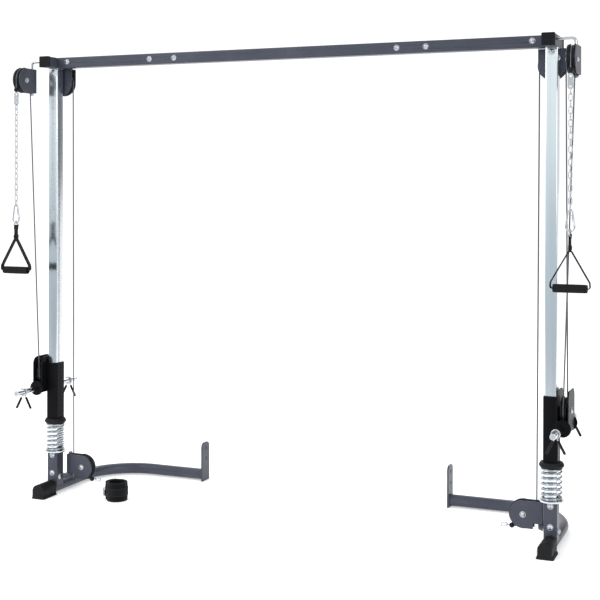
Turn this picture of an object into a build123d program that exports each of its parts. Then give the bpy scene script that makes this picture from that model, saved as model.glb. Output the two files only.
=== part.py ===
from build123d import *

"""Cable crossover attachment (functional trainer) for a power rack, in millimetres.

Frame: +X to the right when facing the machine's front, +Y to the back, +Z up. The origin
is on the floor, under the middle of the machine's box. The two sides are mirror images, so
each side piece is made by a function of side: -1 for the left one and +1 for the right one.
"""

import os
from math import asin, cos, radians, sin

# ---- driving dimensions ----
HALF_SPAN = 1188  # machine's middle to each column's centre
COLUMN_Y = -140  # the columns' plane
TOP_Z = 2085  # top of the beam
TUBE = 50  # square tube of the beam, the stubs and the columns
TUBE_WALL = 2.5
TUBE_CORNER = 4
BORE_CORNER = 2.5

# top beam, its stubs and their caps
STUB_FRONT = 90  # stub's front end, ahead of the column's centre
STUB_BACK = 92
CAP_FACE = 10  # thickness of a stub cap's ribbed face
CAP_OVER = 2  # how far the cap stands proud of the tube all round
CAP_GROOVES = 5
CAP_GROOVE_PITCH = 9
CAP_GROOVE_TALL = 3
CAP_GROOVE_DEEP = 2
CAP_GROOVE_MARGIN = 5
SPIGOT = 44  # square spigots that plug into the beam and the columns
SPIGOT_LONG = 85
CAP_PLUG = 18  # how far a cap's plug goes into the stub
ARM_BOLTS = 128  # spacing of each pair of bolts that holds a rack arm
ARM_X = 598  # middle of each pair
END_BOLT_X = 1110
END_BOLT_UP = 4  # above the beam's middle
ARM_HOLE_R = 7.3  # those bolts' holes in the beam
ARM_STUD = 35  # how far those bolts stand out behind the beam

# bolts
BOLT_R = 6
BOLT_HOLE_R = 6.2
HEAD_R = 11
HEAD_TALL = 7
NUT_R = 10.5
NUT_TALL = 8
NUT_THIN = 9.5  # an axle's end, nut included
CROWN_NUT = 5  # thin nut between the crown housing and the column
SCREW_LONG = 14  # screws through a column's wall into the spigot
NUT_SPARE = 2  # thread that shows past a nut
TOP_FRONT_BOLT_Z = 2017
TOP_SIDE_BOLT_Z = 1994
POST_FRONT_BOLTS_Z = (183, 98)
POST_SIDE_BOLT_Z = 78
POST_SIDE_BOLT_Y = -5  # back of the column's centre

# base
BASE_R = 26  # round base tube
BASE_WALL = 2.5
BASE_Z = 29  # its centre line above the floor
BASE_FRONT = 140  # tube's front end, ahead of the column's centre
BASE_BACK = 490  # its rear run, behind the column's centre
BASE_BEND = 265
PLATE_X = 643  # outer face of the plate that bolts to the rack
PLATE_THICK = 8
PLATE_WIDE = 75
PLATE_TALL = 191
PLATE_CORNER = 24
PLATE_HOLE_R = 8.5
PLATE_HOLES_Z = (110, 160.8)  # two holes of a rack with holes every 50.8 mm
POST = 55
POST_BORE = 50.6
POST_FOOT = 37
POST_TOP = 198
COLUMN_FOOT = 66  # the column's lower end, inside the post
FOOT_WALL = 3
FOOT_TOP = 66
FOOT_FACE = 7
FOOT_BACK = 37  # rear edge of the rubber foot, ahead of the column's centre
FOOT_PAD_WIDE = 72
FOOT_PAD_TALL = 9
FOOT_PAD_CORNER = 8
FOOT_PAD_LEAN = 20  # degrees

# bumper spring and its seat
SEAT_R = 51
SEAT_THICK = 7
SPRING_MEAN_R = 40
SPRING_WIRE_R = 4
SPRING_TURNS = 6
BUMPER_Z = 334  # underside of the carriage's rubber bumper

# pulleys and steel cable
PULLEY_R = 60
PULLEY_THICK = 24
WEB_THICK = 13
HUB_R = 16
HUB_LONG = 29
BRACKET_HUB_LONG = 40
CABLE_R = 3
GROOVE_R = 54  # radius of the cable's centre line round a pulley
PULLEY_BORE_R = 6.06

# carriage
SLEEVE = 60
SLEEVE_BORE = 51
SLEEVE_Z = (358, 624)
BUMPER_R = 51
BUMPER_LIP = (9, 13)  # its widest band, above its underside
BUMPER_FOOT_IN = 7  # how much narrower its foot is
BUMPER_TOP_IN = 6
BRACKET_OUT = (30, 80)  # pulley bracket, outwards of the column's centre
BRACKET_WALL = 4.5
BRACKET_HALF = 70  # half its length, front to back
BRACKET_Z = (488, 655)
BRACKET_WEB_Z = 536  # top of its front and rear webs
BRACKET_ROUND = 34
CARRIAGE_AXLE_Z = 570
PEG_OUT = 50
PEG_Z = 508
PEG_R = 12.5
PEG_TIP = 247.5  # peg's tip, from the column's centre
PEG_CHAMFER = 2
DISC_R = 34
DISC_OUT = 57  # the flange disc's centre, outwards of the column's
DISC_THICK = 8
CLIP_AT = 187  # spring collar, from the column's centre
CLIP_WIRE_R = 2.5
CLIP_GRIP_R = 5.5
CLIP_GRIP = (11, 59)  # its two ends, along a handle from the coil
CLIP_PLAY = 1.2
CLIP_TURN = 4.8
CLIP_SPREAD = 28  # degrees that each clip handle leans

# swivelling pulley housings
PLATE_HALF = 57  # half the height of a housing's side plate
PLATE_GAP = 15  # pulley's middle to a side plate's inner face
SHEET = 4
HOUSING_HALF = PLATE_GAP + SHEET
HINGE_BACK = 12  # hinge line to the housing's closed edge
HINGE_TO_CABLE = 18
HINGE_TO_AXLE = HINGE_TO_CABLE + GROOVE_R
BARREL_R = 10
PIN_R = 6
PIN_BORE_R = 6.06
TOP_HINGE = (102, -50, 1973)  # outwards, back, up: top swivel's hinge, at axle height
HINGE_NUT_OFF = 12  # how far a hinge rod runs on past its housing
HINGE_NUT_IN = 3  # from the rod's end to its nut
LOW_HINGE = (-52, 52, 122)  # the same for the low swivel
LOW_LUG_Z = (64, 86)
LUG_R = 12
LUG_ROOT = 22  # where the lug starts, inwards and back of the column's centre
LUG_PLAY = 1.5
LOW_NOTCH = 30  # housing's lower corner is cut this far past the hinge
ROD_Z = 2065  # level leg of the bent hinge rod
ROD_BEND = 16

# crown pulley, under each stub
CROWN = (-9, 52, 1967)

# handle and what it hangs on
BALL_R = 11
BALL_PLAY = 1.5  # ball stop to pulley rim
EYE_Z = 1850  # foot of the steel eye under the ball
EYE_WIDE = 22
EYE_THICK = 5
EYE_HOLE_R = 5
GAP = 0.4  # running gap between pieces that only touch
LINK_PITCH = 25.2
LINK_WIRE_R = 2
LINK_WIDE = 17
LINKS = 19
CARABINER_WIRE_R = 3.5
CARABINER_TOP_R = 9
CARABINER_LOW_R = 17
CARABINER_LONG = 58  # between the centres of its two arcs
RING_APEX = 11.3  # three-cornered ring: above the carabiner's lower wire
RING_BAR = 13.7  # below it
RING_HALF = 22
RING_CORNER_R = 3
RING_WIRE_R = 2.5
APEX_Z = 1222
GRIP_Z = 1076
GRIP_R = 17
GRIP_BORE_R = 13.4
GRIP_LONG = 133
GRIP_CORNER = 78  # the webbing's lower corners, from the grip's middle
GRIP_SIDE = 24  # the webbing runs this far up beside the grip before it leans in
GRIP_LEAN = 2
APEX_RISE = 8  # the two legs' middle lines meet this far above the triangle's top
STRAP_ROUND = 8
LOW_EYE_R = 5.5
LOW_EYE_WIRE_R = 2
LOW_RING_R = (6, 8)
LOW_RING_WIRE_R = 2.5
LOW_RING_LONG = 14
STRAP_WIDE = 24
STRAP_THICK = 3.5

# ankle strap on the floor, inside the left base
CUFF_X = -838
CUFF_Y = COLUMN_Y - 12
CUFF_R = 51
CUFF_WALL = 9
CUFF_TALL = 88
BAND_WIDE = 38
BAND_THICK = 2
TAB_TALL = 30
TAB_WIDE = 14
TAB_THICK = 9
RING_ANGLE = 55  # the cuff's D-ring, from straight left towards the front
RING_TALL = 46

SIDES = {"left": -1, "right": 1}


def at(side, outward, back, up):
    """A point given outwards and back from a column's centre line."""
    return Vector(side * (HALF_SPAN + outward), COLUMN_Y + back, up)


def save(piece, name):
    piece.part.label = name
    export_step(piece.part, f"parts/{name}.step")


# ---- steps that work inside the sub-part being built ----
def square_tube(plane, outer, bore, long):
    with BuildSketch(plane) as section:
        RectangleRounded(outer, outer, TUBE_CORNER)
        RectangleRounded(bore, bore, BORE_CORNER, mode=Mode.SUBTRACT)
    extrude(section.sketch, amount=long)


def rod(start, end, radius):
    with BuildSketch(Plane(start, z_dir=end - start)) as section:
        Circle(radius)
    extrude(section.sketch, amount=(end - start).length)


def drill(seat, radius, deep):
    """Hole from a seat plane's face back into the piece."""
    with BuildSketch(seat) as section:
        Circle(radius)
    extrude(section.sketch, amount=-deep, mode=Mode.SUBTRACT)


def bolt(seat, shank, grip=None, nut_tall=NUT_TALL):
    """Dome-head bolt on its seat plane; with a grip it also has a nut that far behind the head."""
    with BuildSketch(Plane(seat.origin, x_dir=seat.x_dir, z_dir=-seat.y_dir)) as profile:
        with BuildLine():
            Polyline((0, HEAD_TALL), (0, -shank), (BOLT_R, -shank), (BOLT_R, 0), (HEAD_R, 0))
            TangentArc((0, HEAD_TALL), (HEAD_R, 0), tangent=(1, 0))
        make_face()
    revolve(profile.sketch, axis=Axis(seat.origin, seat.z_dir))
    if grip:
        nut(seat.offset(-grip), -nut_tall)


def nut(plane, tall):
    with BuildSketch(plane) as section:
        RegularPolygon(NUT_R, 6)
    extrude(section.sketch, amount=tall)


def arc_of_wire(centre, arm, onward, angle, wire_r):
    """Round wire bent about a centre: it starts at centre + arm and heads onward."""
    with BuildSketch(Plane(centre + arm, z_dir=onward)) as section:
        Circle(wire_r)
    revolve(section.sketch, axis=Axis(centre, arm.cross(onward)), revolution_arc=angle)


def three_corner_ring(plane, apex, bar, half, corner_r, wire_r):
    """Closed wire ring with a straight bar below its apex."""
    with BuildLine(plane) as outline:
        FilletPolyline((half, bar), (0, apex), (-half, bar), radius=corner_r, close=True)
    path = outline.wire()
    with BuildSketch(Plane(path @ 0, z_dir=path % 0)) as section:
        Circle(wire_r)
    sweep(section.sketch, path=path)


def pear_ring(plane, near_r, far_r, long, wire_r):
    """Closed wire ring: a small arc about the plane's origin, a second one long below, and tangents."""
    lean = asin((far_r - near_r) / long)
    near = [(way * near_r * cos(lean), near_r * sin(lean)) for way in (-1, 1)]
    far = [(way * far_r * cos(lean), far_r * sin(lean) - long) for way in (-1, 1)]
    with BuildLine(plane) as outline:
        ThreePointArc(near[0], (0, near_r), near[1])
        Line(near[1], far[1])
        ThreePointArc(far[1], (0, -long - far_r), far[0])
        Line(far[0], near[0])
    path = outline.wire()
    with BuildSketch(Plane(path @ 0, z_dir=path % 0)) as section:
        Circle(wire_r)
    sweep(section.sketch, path=path)


def ball_with_bore(centre, toward_cable):
    with BuildSketch(Plane(centre, x_dir=(0, 1, 0), z_dir=Vector(0, 1, 0).cross(toward_cable))) as half:
        Circle(BALL_R)
        with Locations((0, -BALL_R)):
            Rectangle(2 * BALL_R, 2 * BALL_R, mode=Mode.SUBTRACT)
    revolve(half.sketch, axis=Axis(centre, (0, 1, 0)))
    drill(Plane(centre + toward_cable * BALL_R, z_dir=toward_cable), CABLE_R + 0.2, BALL_R)


# ---- planes that several pieces share ----
def crown_plane(side):
    return Plane(at(side, *CROWN), x_dir=(1, 0, 0), z_dir=(0, 1, 0))


def carriage_plane(side):
    return Plane(at(side, sum(BRACKET_OUT) / 2, 0, CARRIAGE_AXLE_Z), x_dir=(0, 1, 0), z_dir=(1, 0, 0))


def swivel_plane(side, which):
    """A swivel's plane at its hinge: local x runs to the pulley's axle and local y is up."""
    if which == "top":
        return Plane(at(side, *TOP_HINGE), x_dir=(0, -1, 0), z_dir=(-1, 0, 0))
    return Plane(at(side, *LOW_HINGE), x_dir=(-side, 0, 0), z_dir=(0, side, 0))


def axle_plane(side, which):
    plane = swivel_plane(side, which)
    return plane.offset(0).shift_origin(plane.from_local_coords((HINGE_TO_AXLE, 0, 0)))


def top_bolts(side):
    """Seats of the two screws that hold a column's upper end to the stub's spigot."""
    return [
        Plane(at(side, 0, -TUBE / 2, TOP_FRONT_BOLT_Z), z_dir=(0, -1, 0)),
        Plane(at(side, TUBE / 2, 0, TOP_SIDE_BOLT_Z), z_dir=(side, 0, 0)),
    ]


def post_bolts(side):
    """Seats of the three through bolts that hold a column's lower end in its post."""
    return [
        Plane(at(side, 0, -POST / 2, POST_FRONT_BOLTS_Z[0]), z_dir=(0, -1, 0)),
        Plane(at(side, 0, -POST / 2, POST_FRONT_BOLTS_Z[1]), z_dir=(0, -1, 0)),
        Plane(at(side, -POST / 2, POST_SIDE_BOLT_Y, POST_SIDE_BOLT_Z), z_dir=(-side, 0, 0)),
    ]


def end_bolt(side):
    """Seat of the through bolt that holds a stub's side spigot in the beam."""
    return Plane((side * END_BOLT_X, COLUMN_Y - TUBE / 2, TOP_Z - TUBE / 2 + END_BOLT_UP), z_dir=(0, -1, 0))


def arm_bolts():
    """Seats of the bolts whose studs stand out behind the beam, where a rack's arms bolt on."""
    xs = [side * ARM_X + way * ARM_BOLTS / 2 for side in (-1, 1) for way in (-1, 1)]
    return [Plane((x, COLUMN_Y - TUBE / 2, TOP_Z - TUBE / 2), z_dir=(0, -1, 0)) for x in xs]


def ball_reach():
    """How far a ball stop's centre is past its pulley's axle when it rests on the pulley's rim."""
    return ((PULLEY_R + BALL_R + BALL_PLAY) ** 2 - GROOVE_R**2) ** 0.5


def top_ball(side):
    return axle_plane(side, "top").origin + Vector(0, -GROOVE_R, -ball_reach())


def low_ball(side):
    return axle_plane(side, "low").origin + Vector(-side * ball_reach(), 0, -GROOVE_R)


# ---- top frame ----
def top_beam():
    long = 2 * (HALF_SPAN - TUBE / 2)
    start = Plane((-long / 2, COLUMN_Y, TOP_Z - TUBE / 2), x_dir=(0, 1, 0), z_dir=(1, 0, 0))
    with BuildPart() as beam:
        square_tube(start, TUBE, TUBE - 2 * TUBE_WALL, long)
        for seat in arm_bolts():
            drill(seat, ARM_HOLE_R, TUBE)
        for side in SIDES.values():
            drill(end_bolt(side), BOLT_HOLE_R, TUBE)
    return beam


def beam_stubs():
    """Front-to-back tubes at the beam's ends, each with a spigot into the beam and one into the column."""
    level = TOP_Z - TUBE / 2
    bore = TUBE - 2 * TUBE_WALL
    with BuildPart() as stubs:
        for side in SIDES.values():
            front = Plane(at(side, 0, -STUB_FRONT, level), z_dir=(0, 1, 0))
            square_tube(front, TUBE, bore, STUB_FRONT + STUB_BACK)
            into_beam = Plane(at(side, -TUBE / 2, 0, level), x_dir=(0, 1, 0), z_dir=(-side, 0, 0))
            into_column = Plane(at(side, 0, 0, TOP_Z - TUBE), x_dir=(0, 1, 0), z_dir=(0, 0, -1))
            for spigot in (into_beam, into_column):
                square_tube(spigot, SPIGOT, SPIGOT - 2 * TUBE_WALL, SPIGOT_LONG)
            for seat in top_bolts(side):
                drill(seat, BOLT_HOLE_R, SCREW_LONG + 1)
            drill(end_bolt(side), BOLT_HOLE_R, TUBE)
    return stubs


def stub_caps():
    """Ribbed rubber caps on the stubs' open ends."""
    wide = TUBE + 2 * CAP_OVER
    plug = TUBE - 2 * TUBE_WALL - GAP
    with BuildPart() as caps:
        for side in SIDES.values():
            for way, end in ((-1, -STUB_FRONT), (1, STUB_BACK)):
                face = Plane(at(side, 0, end, TOP_Z - TUBE / 2), x_dir=(1, 0, 0), z_dir=(0, way, 0))
                with BuildSketch(face):
                    RectangleRounded(wide, wide - CAP_OVER, TUBE_CORNER)
                extrude(amount=CAP_FACE)
                with BuildSketch(face.offset(CAP_FACE)):
                    with GridLocations(0, CAP_GROOVE_PITCH, 1, CAP_GROOVES):
                        Rectangle(wide - 2 * CAP_GROOVE_MARGIN, CAP_GROOVE_TALL)
                extrude(amount=-CAP_GROOVE_DEEP, mode=Mode.SUBTRACT)
                with BuildSketch(face):
                    RectangleRounded(plug, plug, BORE_CORNER)
                extrude(amount=-CAP_PLUG)
    return caps


def frame_bolts():
    with BuildPart() as bolts:
        for seat in arm_bolts():
            bolt(seat, TUBE + ARM_STUD)
        for side in SIDES.values():
            bolt(end_bolt(side), TUBE + NUT_TALL + NUT_SPARE, TUBE)
            for seat in top_bolts(side):
                bolt(seat, SCREW_LONG)
            for seat in post_bolts(side):
                bolt(seat, POST + NUT_TALL + NUT_SPARE, POST)
            crown = Plane(at(side, CROWN[0], CROWN[1] + HOUSING_HALF, CROWN[2]), z_dir=(0, 1, 0))
            bolt(crown, 2 * HOUSING_HALF + CROWN_NUT, 2 * HOUSING_HALF, CROWN_NUT)
    return bolts


# ---- columns and base ----
def column(side):
    with BuildPart() as column:
        foot = Plane(at(side, 0, 0, COLUMN_FOOT))
        square_tube(foot, TUBE, TUBE - 2 * TUBE_WALL, TOP_Z - TUBE - COLUMN_FOOT)
        for seat in top_bolts(side):
            drill(seat, BOLT_HOLE_R, SCREW_LONG + 1)
        for seat in post_bolts(side):
            drill(seat, BOLT_HOLE_R, POST)
    return column


def base_tube(side):
    """Round tube from the front foot, under the post and round one wide bend to the rack plate."""
    plate_x = PLATE_X - PLATE_THICK
    with BuildPart() as base:
        with BuildLine() as path:
            FilletPolyline(
                at(side, 0, -BASE_FRONT, BASE_Z),
                at(side, 0, BASE_BACK, BASE_Z),
                Vector(side * plate_x, COLUMN_Y + BASE_BACK, BASE_Z),
                radius=BASE_BEND,
            )
        with BuildSketch(Plane(at(side, 0, -BASE_FRONT, BASE_Z), x_dir=(1, 0, 0), z_dir=(0, 1, 0))):
            Circle(BASE_R)
            Circle(BASE_R - BASE_WALL, mode=Mode.SUBTRACT)
        sweep(path=path.wire())
        foot = Vector(side * plate_x, COLUMN_Y + BASE_BACK, 0)
        with BuildSketch(Plane(foot, x_dir=(0, -side, 0), z_dir=(-side, 0, 0))):
            with Locations((0, PLATE_TALL / 2)):
                plate = Rectangle(PLATE_WIDE, PLATE_TALL)
            fillet(plate.vertices().group_by(Axis.Y)[-1], PLATE_CORNER)
            with Locations(*[(0, z) for z in PLATE_HOLES_Z]):
                Circle(PLATE_HOLE_R, mode=Mode.SUBTRACT)
        extrude(amount=PLATE_THICK)
    return base


def base_post(side):
    """Square socket for the column, saddled on the base tube, with the low swivel's lug."""
    out, back = LOW_HINGE[:2]
    lug = LOW_LUG_Z[1] - LOW_LUG_Z[0]
    hinge = at(side, out, back, LOW_LUG_Z[0])
    root = at(side, -LUG_ROOT, LUG_ROOT, LOW_LUG_Z[0])
    with BuildPart() as post:
        with BuildSketch(Plane(at(side, 0, 0, POST_FOOT))):
            RectangleRounded(POST, POST, TUBE_CORNER)
        extrude(amount=POST_TOP - POST_FOOT)
        with BuildSketch(Plane((root + hinge) / 2, x_dir=hinge - root, z_dir=(0, 0, 1))):
            Rectangle((hinge - root).length, 2 * LUG_R)
        extrude(amount=lug)
        with BuildSketch(Plane(hinge)):
            Circle(LUG_R)
        extrude(amount=lug)
        with BuildSketch(Plane(hinge)):
            Circle(PIN_R)
        extrude(amount=lug, mode=Mode.SUBTRACT)
        with BuildSketch(Plane(at(side, 0, 0, BASE_Z))):
            RectangleRounded(POST_BORE, POST_BORE, TUBE_CORNER)
        extrude(amount=POST_TOP, mode=Mode.SUBTRACT)
        drill(Plane(at(side, 0, POST, BASE_Z), z_dir=(0, 1, 0)), BASE_R, 2 * POST)
        for seat in post_bolts(side):
            drill(seat, BOLT_HOLE_R, POST)
    return post


def rubber_feet():
    """Closed rubber boots on the base tubes' front ends, each on a wider pad."""
    long = BASE_FRONT + FOOT_FACE - FOOT_BACK
    half = BASE_R + FOOT_WALL
    with BuildPart() as feet:
        for side in SIDES.values():
            front = Plane(at(side, 0, -BASE_FRONT - FOOT_FACE, 0), x_dir=(1, 0, 0), z_dir=(0, -1, 0))
            with BuildSketch(front):
                with Locations((0, FOOT_TOP - half)):
                    Circle(half)
                with Locations((0, (FOOT_TOP - half) / 2)):
                    Rectangle(2 * half, FOOT_TOP - half)
            extrude(amount=-long)
            with BuildSketch(Plane(front.origin + Vector(0, long / 2, 0))):
                RectangleRounded(FOOT_PAD_WIDE, long + 4, FOOT_PAD_CORNER)
            extrude(amount=FOOT_PAD_TALL, taper=FOOT_PAD_LEAN)
            drill(Plane(at(side, 0, -BASE_FRONT, BASE_Z), z_dir=(0, -1, 0)), BASE_R, long + 8)
    return feet


def spring_seats():
    with BuildPart() as seats:
        for side in SIDES.values():
            with BuildSketch(Plane(at(side, 0, 0, POST_TOP))):
                Circle(SEAT_R)
                RectangleRounded(TUBE + 1, TUBE + 1, TUBE_CORNER, mode=Mode.SUBTRACT)
            extrude(amount=SEAT_THICK)
    return seats


def bumper_springs():
    low = POST_TOP + SEAT_THICK + SPRING_WIRE_R + GAP
    tall = BUMPER_Z - SPRING_WIRE_R - GAP - low
    with BuildPart() as springs:
        for side in SIDES.values():
            with BuildLine() as path:
                Helix(tall / SPRING_TURNS, tall, SPRING_MEAN_R, center=at(side, 0, 0, low))
            with BuildSketch(Plane(path.wire() @ 0, z_dir=path.wire() % 0)):
                Circle(SPRING_WIRE_R)
            sweep(path=path.wire(), is_frenet=True)
    return springs


# ---- pulleys, their housings and their axles ----
def pulley(plane, hub_long):
    """Grooved pulley about a plane's normal, with a thinner web and a hub as long as its housing is wide."""
    half = PULLEY_THICK / 2
    floor = GROOVE_R - CABLE_R
    half_profile = [
        (floor, CABLE_R / 2),
        (floor + 1.6, CABLE_R),
        (PULLEY_R, half - 3),
        (PULLEY_R, half - 1.5),
        (PULLEY_R - 1.5, half),
        (floor - 5, half),
        (floor - 8, WEB_THICK / 2),
        (HUB_R + 1, WEB_THICK / 2),
        (HUB_R, hub_long / 2),
        (PULLEY_BORE_R, hub_long / 2),
    ]
    other_half = [(radius, -height) for radius, height in reversed(half_profile)]
    with BuildPart() as pulley:
        with BuildSketch(Plane(plane.origin, x_dir=plane.x_dir, z_dir=plane.y_dir)):
            with BuildLine():
                Polyline(*half_profile, *other_half, close=True)
            make_face()
        revolve(axis=Axis(plane.origin, plane.z_dir))
    return pulley


def crown_housings():
    """Side plates hung from a web under each stub."""
    up = TOP_Z - TUBE - CROWN[2]
    with BuildPart() as housings:
        for side in SIDES.values():
            plane = Plane(at(side, *CROWN), x_dir=(1, 0, 0), z_dir=(0, -1, 0))
            for near in (PLATE_GAP, -HOUSING_HALF):
                with BuildSketch(plane.offset(near)):
                    Circle(PLATE_HALF)
                    with Locations((0, up / 2)):
                        Rectangle(2 * PLATE_HALF, up)
                    Circle(BOLT_HOLE_R, mode=Mode.SUBTRACT)
                extrude(amount=SHEET)
            with BuildSketch(Plane(plane.origin + Vector(0, 0, up))):
                Rectangle(2 * PLATE_HALF, 2 * HOUSING_HALF)
            extrude(amount=-SHEET)
    return housings


def swivel_housing(side, which):
    """Bent-sheet housing: two side plates, a closed edge, and the hinge barrel inside that edge."""
    plane = swivel_plane(side, which)
    foot = Plane(plane.origin - Vector(0, 0, PLATE_HALF))
    with BuildPart() as housing:
        with BuildSketch(plane.offset(-HOUSING_HALF)):
            with Locations((HINGE_TO_AXLE, 0)):
                Circle(PLATE_HALF)
            with Locations(((HINGE_TO_AXLE - HINGE_BACK) / 2, 0)):
                Rectangle(HINGE_TO_AXLE + HINGE_BACK, 2 * PLATE_HALF)
        extrude(amount=2 * HOUSING_HALF)
        back = plane.from_local_coords((-HINGE_BACK, 0, 0))
        bends = housing.edges().filter_by(Axis.Z).sort_by_distance(back)[:2]
        fillet(bends, SHEET)
        with BuildSketch(plane.offset(-PLATE_GAP)):
            with Locations((2 * PLATE_HALF + SHEET - HINGE_BACK, 0)):
                Rectangle(4 * PLATE_HALF, 3 * PLATE_HALF)
        extrude(amount=2 * PLATE_GAP, mode=Mode.SUBTRACT)
        with BuildSketch(foot):
            Circle(BARREL_R)
        extrude(amount=2 * PLATE_HALF)
        with BuildSketch(foot):
            Circle(PIN_BORE_R)
        extrude(amount=2 * PLATE_HALF, mode=Mode.SUBTRACT)
        drill(axle_plane(side, which).offset(HOUSING_HALF), BOLT_HOLE_R, 2 * HOUSING_HALF)
        if which == "low":
            tall = LOW_LUG_Z[1] + LUG_PLAY - foot.origin.Z
            with BuildSketch(plane.offset(-HOUSING_HALF)):
                with Locations(((LOW_NOTCH - HINGE_BACK) / 2, tall / 2 - PLATE_HALF)):
                    Rectangle(LOW_NOTCH + HINGE_BACK, tall)
            extrude(amount=2 * HOUSING_HALF, mode=Mode.SUBTRACT)
    return housing


def swivel_axle(side, which):
    """Pulley bolt; its head faces outwards on the top swivel and forwards on the low one."""
    facing = Vector(side, 0, 0) if which == "top" else Vector(0, -1, 0)
    seat = Plane(axle_plane(side, which).origin + facing * HOUSING_HALF, z_dir=facing)
    with BuildPart() as axle:
        bolt(seat, 2 * HOUSING_HALF + NUT_THIN, 2 * HOUSING_HALF)
    return axle


def hinge_rods():
    """The top swivels' bent rods, out of the stubs and down, and the low swivels' upright pins."""
    out, back, level = TOP_HINGE
    low_out, low_back, low_level = LOW_HINGE
    rod_end = level - PLATE_HALF - HINGE_NUT_OFF
    pin_top = low_level + PLATE_HALF + HINGE_NUT_OFF
    with BuildPart() as rods:
        for side in SIDES.values():
            root = at(side, TUBE / 2, back, ROD_Z)
            with BuildLine() as path:
                bend = at(side, out, back, ROD_Z)
                FilletPolyline(root, bend, at(side, out, back, rod_end), radius=ROD_BEND)
            with BuildSketch(Plane(root, z_dir=(side, 0, 0))):
                Circle(PIN_R)
            sweep(path=path.wire())
            nut(Plane(at(side, out, back, rod_end + HINGE_NUT_IN)), NUT_TALL)
            rod(at(side, low_out, low_back, LOW_LUG_Z[0]), at(side, low_out, low_back, pin_top), PIN_R)
            nut(Plane(at(side, low_out, low_back, pin_top - HINGE_NUT_IN)), -NUT_TALL)
    return rods


# ---- carriage ----
def carriage_sleeve(side):
    with BuildPart() as sleeve:
        with BuildSketch(Plane(at(side, 0, 0, SLEEVE_Z[0]))):
            RectangleRounded(SLEEVE, SLEEVE, TUBE_CORNER)
            RectangleRounded(SLEEVE_BORE, SLEEVE_BORE, TUBE_CORNER, mode=Mode.SUBTRACT)
        extrude(amount=SLEEVE_Z[1] - SLEEVE_Z[0])
    return sleeve


def carriage_bumper(side):
    """Rubber ring under the sleeve, widest near its foot, that lands on the spring."""
    tall = SLEEVE_Z[0] - BUMPER_Z
    foot, top = BUMPER_R - BUMPER_FOOT_IN, BUMPER_R - BUMPER_TOP_IN
    lip = [(BUMPER_R, level) for level in BUMPER_LIP]
    outline = [(0, 0), (foot, 0), *lip, (top, tall), (0, tall)]
    with BuildPart() as bumper:
        with BuildSketch(Plane(at(side, 0, 0, BUMPER_Z), x_dir=(1, 0, 0), z_dir=(0, -1, 0))):
            with BuildLine():
                Polyline(*outline, close=True)
            make_face()
        revolve(axis=Axis(at(side, 0, 0, BUMPER_Z), (0, 0, 1)))
        with BuildSketch(Plane(at(side, 0, 0, BUMPER_Z))):
            RectangleRounded(SLEEVE_BORE, SLEEVE_BORE, TUBE_CORNER)
        extrude(amount=tall, mode=Mode.SUBTRACT)
    return bumper


def pulley_bracket(side):
    """Open-topped box for the carriage's pulley, beside the sleeve, with the pegs' flange discs."""
    low, high = BRACKET_Z
    near, far = BRACKET_OUT
    middle = (near + far) / 2
    wide = far - near
    with BuildPart() as bracket:
        with BuildSketch(Plane(at(side, middle, 0, low))):
            Rectangle(wide, 2 * BRACKET_HALF)
        extrude(amount=high - low)
        fillet(bracket.edges().filter_by(Axis.X).group_by(Axis.Z)[-1], BRACKET_ROUND)
        with BuildSketch(Plane(at(side, middle, 0, low + BRACKET_WALL))):
            Rectangle(wide - 2 * BRACKET_WALL, 2 * (BRACKET_HALF - BRACKET_WALL))
        extrude(amount=high, mode=Mode.SUBTRACT)
        with BuildSketch(Plane(at(side, middle, 0, BRACKET_WEB_Z))):
            Rectangle(wide - 2 * BRACKET_WALL, 4 * BRACKET_HALF)
        extrude(amount=high, mode=Mode.SUBTRACT)
        drill(Plane(at(side, far, 0, CARRIAGE_AXLE_Z), z_dir=(side, 0, 0)), BOLT_HOLE_R, wide)
        for facing in (-1, 1):
            disc = at(side, DISC_OUT, facing * BRACKET_HALF, PEG_Z)
            with BuildSketch(Plane(disc, z_dir=(0, facing, 0))):
                Circle(DISC_R)
            extrude(amount=DISC_THICK)
        with BuildSketch(Plane(at(side, 0, 0, low - DISC_R))):
            Rectangle(SLEEVE, SLEEVE)
        extrude(amount=high, mode=Mode.SUBTRACT)
    return bracket


def carriage_axle(side):
    near, far = BRACKET_OUT
    with BuildPart() as axle:
        bolt(Plane(at(side, far, 0, CARRIAGE_AXLE_Z), z_dir=(side, 0, 0)), far - near)
    return axle


def plate_pegs(side):
    """Chrome pegs for weight plates, one forwards and one backwards."""
    start = BRACKET_HALF + DISC_THICK
    with BuildPart() as pegs:
        for facing in (-1, 1):
            rod(at(side, PEG_OUT, facing * start, PEG_Z), at(side, PEG_OUT, facing * PEG_TIP, PEG_Z), PEG_R)
        tips = pegs.faces().sort_by(Axis.Y)
        chamfer(tips[0].edges() + tips[-1].edges(), PEG_CHAMFER)
    return pegs


def spring_clip(side, facing):
    """Sprung wire collar on a peg, with two rubber-sleeved handles that hang down from it."""
    centre = at(side, PEG_OUT, facing * CLIP_AT, PEG_Z)
    mean = PEG_R + CLIP_WIRE_R + CLIP_PLAY
    with BuildPart() as clip:
        for turn in (-1, 0, 1):
            hub = centre + Vector(0, turn * CLIP_TURN, 0)
            arc_of_wire(hub, Vector(mean, 0, 0), Vector(0, 0, 1), 360, CLIP_WIRE_R)
        for lean in (-1, 1):
            angle = radians(lean * CLIP_SPREAD)
            down = Vector(sin(angle), 0, -cos(angle))
            root = centre + Vector(0, lean * CLIP_TURN, 0) + down * mean
            rod(root, root + down * CLIP_GRIP[0], CLIP_WIRE_R)
            rod(root + down * CLIP_GRIP[0], root + down * CLIP_GRIP[1], CLIP_GRIP_R)
    return clip


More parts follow.
